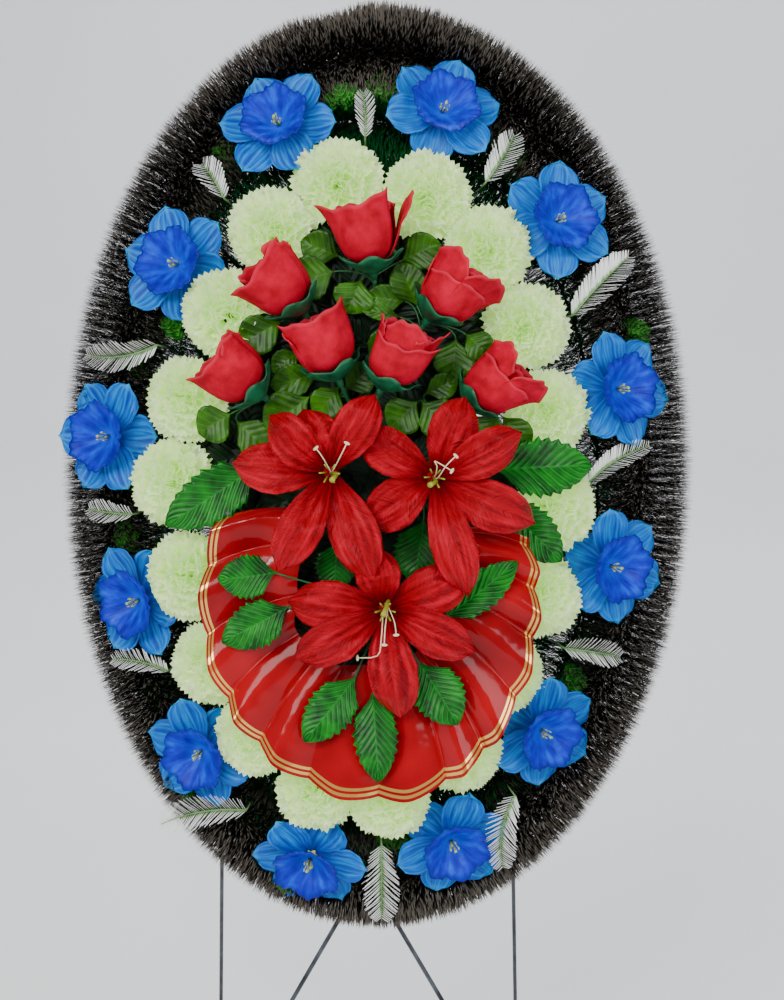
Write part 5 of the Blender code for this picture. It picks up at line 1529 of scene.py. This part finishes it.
# %% Needles
def needle_shape():
    """A strip of unit length along +Z, widest near its tip and folded along its middle."""
    body = bmesh.new()
    layer = body.loops.layers.uv.new("UVMap")
    bmesh.ops.create_grid(body, x_segments=1, y_segments=1, size=1)
    spots = [(0, 0, 0), (0.9, 0.3, 0.80), (-0.9, 0.3, 0.80), (0, 0, 1)]
    for vert, spot in zip(sorted(body.verts, key=lambda vert: (vert.co.y, vert.co.x)), spots):
        vert.co = spot
    bmesh.ops.delete(body, geom=list(body.faces), context="FACES_ONLY")
    bmesh.ops.delete(body, geom=list(body.edges), context="EDGES_FACES")
    foot, right, left, tip = sorted(body.verts, key=lambda vert: (vert.co.z, -vert.co.x))
    body.faces.new((foot, right, tip))
    body.faces.new((foot, tip, left))
    for face in body.faces:
        for loop in face.loops:
            loop[layer].uv = (0.5, loop.vert.co.z)
    return as_mesh(body, "needle")


def even_stations(oval, count, depth):
    """Points, tangents and outward directions at even steps along an oval."""
    fine = 1440
    ring = [oval_point(oval, math.tau * k / fine, depth) for k in range(fine + 1)]
    run = [0.0]
    for before, after in zip(ring, ring[1:]):
        run.append(run[-1] + (after - before).length)
    stations = []
    for k in range(count):
        angle = math.tau * np.interp(run[-1] * k / count, run, range(fine + 1)) / fine
        point = oval_point(oval, angle, depth)
        ahead = (oval_point(oval, angle + 0.002, depth) - point).normalized()
        stations.append((point, ahead, outward(oval, point)))
    return stations, run[-1]


def free_length(start, direction, length, clear=1.5 * MM):
    """How long a needle may be before it meets a petal, a leaf or a frond."""
    for cover in covers:
        hit = cover.ray_cast(start, direction, length + clear)
        if hit[0] is not None:
            length = min(length, max(hit[3] - clear, 4 * MM))
    return length


def close_fringe(stations, pitch, each_turn):
    """Short broad needles close round the wires, which keep the light of the wall out."""
    short = []
    for middle, ahead, out in stations:
        for _ in range(each_turn):
            around = math.tau * rng.random()
            radial = out * math.cos(around) + TOWARDS_VIEWER * math.sin(around)
            direction = (radial + ahead * rng.uniform(-0.6, 0.6)).normalized()
            start = middle + ahead * rng.uniform(-0.5, 0.5) * pitch
            length = rng.uniform(11, 24) * MM
            if direction.y > 0:
                length = min(length, BACK_REACH / direction.y)
            length = free_length(start, direction, length)
            short.append((0, pointed_along(start, direction, length, FRINGE_WIDTH)))
    return short


needle = needle_shape()
FRINGE_WIDTH = 1.7 * MM
BACK_REACH = 9 * MM
SHORTEST_NEEDLE = 6 * MM
BLACK_MIDDLE = 10 * MM
BLACK_TURNS = 236
BLACK_EACH_TURN = 470
BLACK_LENGTHS = (49, 58)
BLACK_WIDTH = 0.85 * MM
BLACK_FRINGE = 110
NOTCH_RADIUS = 0.045
NOTCH = photo_point(335, 35, 0)
rng = random.Random(12)
stations, black_length = even_stations(OUTER_OVAL, BLACK_TURNS, BLACK_MIDDLE)
print("black garland:", round(black_length, 3), "m, pitch", round(1000 * black_length / BLACK_TURNS, 1), "mm")
spikes = []
for middle, ahead, out in stations:
    for k in range(BLACK_EACH_TURN):
        share = (k + rng.uniform(-0.4, 0.4)) / BLACK_EACH_TURN
        around = math.tau * share
        flat = 0.5 if math.cos(around) > 0 else 0.9
        radial = (out * math.cos(around) + TOWARDS_VIEWER * math.sin(around) * flat).normalized()
        if radial.y > 0.80:
            continue
        loose = rng.random() < 0.6
        scatter = 0.5 if loose else 0.15
        screw = ahead * (share - 0.5 + rng.uniform(-scatter, scatter)) * black_length / BLACK_TURNS
        direction = (radial + ahead * rng.uniform(-scatter, scatter) * 0.7).normalized()
        start = middle + screw + radial * 1.5 * MM
        length = rng.uniform(*BLACK_LENGTHS) * MM * (1 - 0.05 * max(0, radial.y))
        if (start - NOTCH).length < NOTCH_RADIUS:
            length *= 0.62 + 0.38 * (start - NOTCH).length / NOTCH_RADIUS
        if radial.y > 0.05:
            length = min(length, BACK_REACH + 42 * MM * (1 - radial.y) ** 1.2)
        if radial.dot(out) < 0.6:
            length = free_length(start, direction, length)
        if length > SHORTEST_NEEDLE:
            spikes.append((0, pointed_along(start, direction, length, BLACK_WIDTH)))
print("black needles:", len(spikes))
short = close_fringe(stations, black_length / BLACK_TURNS, BLACK_FRINGE)
show(copies([needle], short, "fringe", rng), "black_fringe", black_film, "black_garland")
show(copies([needle], spikes, "needles", rng), "black_needles", black_film, "black_garland", "black_garland")


def twisted_wires(oval, depth, radius, turns):
    """Two thin wires twisted round each other along an oval."""
    bodies = []
    for hand in (0, math.pi):
        def surface(across, along, hand=hand):
            angle = math.tau * along
            middle = oval_point(oval, angle, depth)
            out = outward(oval, middle)
            spin = turns * angle + hand
            middle += (out * math.cos(spin) + TOWARDS_VIEWER * math.sin(spin)) * radius
            around = math.pi * across
            return middle + (out * math.cos(around) + TOWARDS_VIEWER * math.sin(around)) * radius
        bodies.append(bent_grid(6, 900, surface, closed=True))
    return bodies


show(join(twisted_wires(OUTER_OVAL, BLACK_MIDDLE, 0.9 * MM, 110), "core"), "black_garland_core",
     lacquered_wire, "black_garland")

# %% The green garland
GREEN_MIDDLE = 9 * MM
GREEN_TURNS = 180
GREEN_EACH_TURN = 280
GREEN_LENGTHS = (30, 46)
GREEN_WIDTH = 1.1 * MM
GREEN_FRINGE = 90
GREEN_OVALS = [(-0.014, -0.015, 0.252, 0.388), (-0.014, -0.020, 0.190, 0.318)]
spikes = []
short = []
for oval in GREEN_OVALS:
    turns = round(GREEN_TURNS * oval[3] / GREEN_OVALS[0][3])
    stations, green_length = even_stations(oval, turns, GREEN_MIDDLE)
    short += close_fringe(stations, green_length / len(stations), GREEN_FRINGE)
    for middle, ahead, out in stations:
        for k in range(GREEN_EACH_TURN):
            share = (k + rng.uniform(-0.4, 0.4)) / GREEN_EACH_TURN
            around = math.tau * share
            radial = (out * math.cos(around) + TOWARDS_VIEWER * math.sin(around) * 0.55).normalized()
            if radial.y > 0.35:
                continue
            screw = ahead * (share - 0.5 + rng.uniform(-0.3, 0.3)) * green_length / len(stations)
            direction = (radial + ahead * rng.uniform(-0.25, 0.25)).normalized()
            start = middle + screw + radial * 1.5 * MM
            length = free_length(start, direction, rng.uniform(*GREEN_LENGTHS) * MM)
            if length > SHORTEST_NEEDLE:
                spikes.append((0, pointed_along(start, direction, length, GREEN_WIDTH)))
print("green needles:", len(spikes))
show(copies([needle], short, "fringe", rng), "green_fringe", green_film, "green_garland")
show(copies([needle], spikes, "needles", rng), "green_needles", green_film, "green_garland", "green_garland")
cores = []
for oval in GREEN_OVALS:
    cores += twisted_wires(oval, GREEN_MIDDLE, 0.9 * MM, 80)
show(join(cores, "cores"), "green_garland_core", lacquered_wire, "green_garland")

# %% [markdown]
# ## Small lobed leaves
# Here and there a bright, lobed leaf of the green garland shows between the daffodils. It is
# one more bent grid, with an edge that swings in and out three times on each side.

# %% Lobed leaves
SPRIGS = [
    (121, 357), (110, 539), (176, 802), (278, 900), (500, 868), (404, 858), (590, 690),
    (652, 330), (520, 138), (338, 84), (384, 74), (214, 148), (160, 318),
]
sprig_cloth = pressed_leaf("bright green sprig leaf cloth", "#145A14", "#2E8C22", "#7FBF4A", 6, 0.4)


def lobed_leaf(start, tip, half_width, seed):
    """A leaf with three rounded lobes on each side."""
    way = (tip - start).normalized()
    length = (tip - start).length
    face = (TOWARDS_VIEWER - way * way.dot(TOWARDS_VIEWER)).normalized()
    aside = way.cross(face)

    def surface(across, along):
        lobes = 0.62 + 0.38 * abs(math.sin(along * math.pi * 3.2 + 0.3))
        width = half_width * np.interp(along, OVAL_ALONG, OVAL_WIDTH) * (1 - (1 - lobes) * abs(across) ** 2)
        wave = 2.2 * MM * noise.noise(Vector((across * 2, along * 4, seed)))
        lift = 8 * MM * along * (1 - along) + 0.25 * width * abs(across) + wave * min(along * 3, 1)
        return start + way * length * along + aside * across * width + face * lift
    return bent_grid(10, 26, surface, 0.35 * MM)


sprigs = []
for k, (px, py) in enumerate(SPRIGS):
    tip = photo_point(px, py, 42 * MM)
    out = outward(DAFFODIL_OVAL, tip)
    for spread in (-0.45, 0.25, 0.9):
        turn = Matrix.Rotation(spread, 3, TOWARDS_VIEWER)
        way = turn @ out
        start = tip - way * 34 * MM
        start.y = -30 * MM
        sprigs.append(lobed_leaf(start, start.lerp(tip + (way - out) * 10 * MM, 1.0 - 0.18 * abs(spread)),
                                 (13 - 4 * abs(spread)) * MM, k + spread))
show(join(sprigs, "sprigs"), "sprig_leaves", sprig_cloth, "green_garland")


# %% [markdown]
# ## Sizes and the end
# The box of the dressed model is printed.

# %% Finish
low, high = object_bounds()
print("visual box:", [round(value, 4) for value in (*low, *high)])
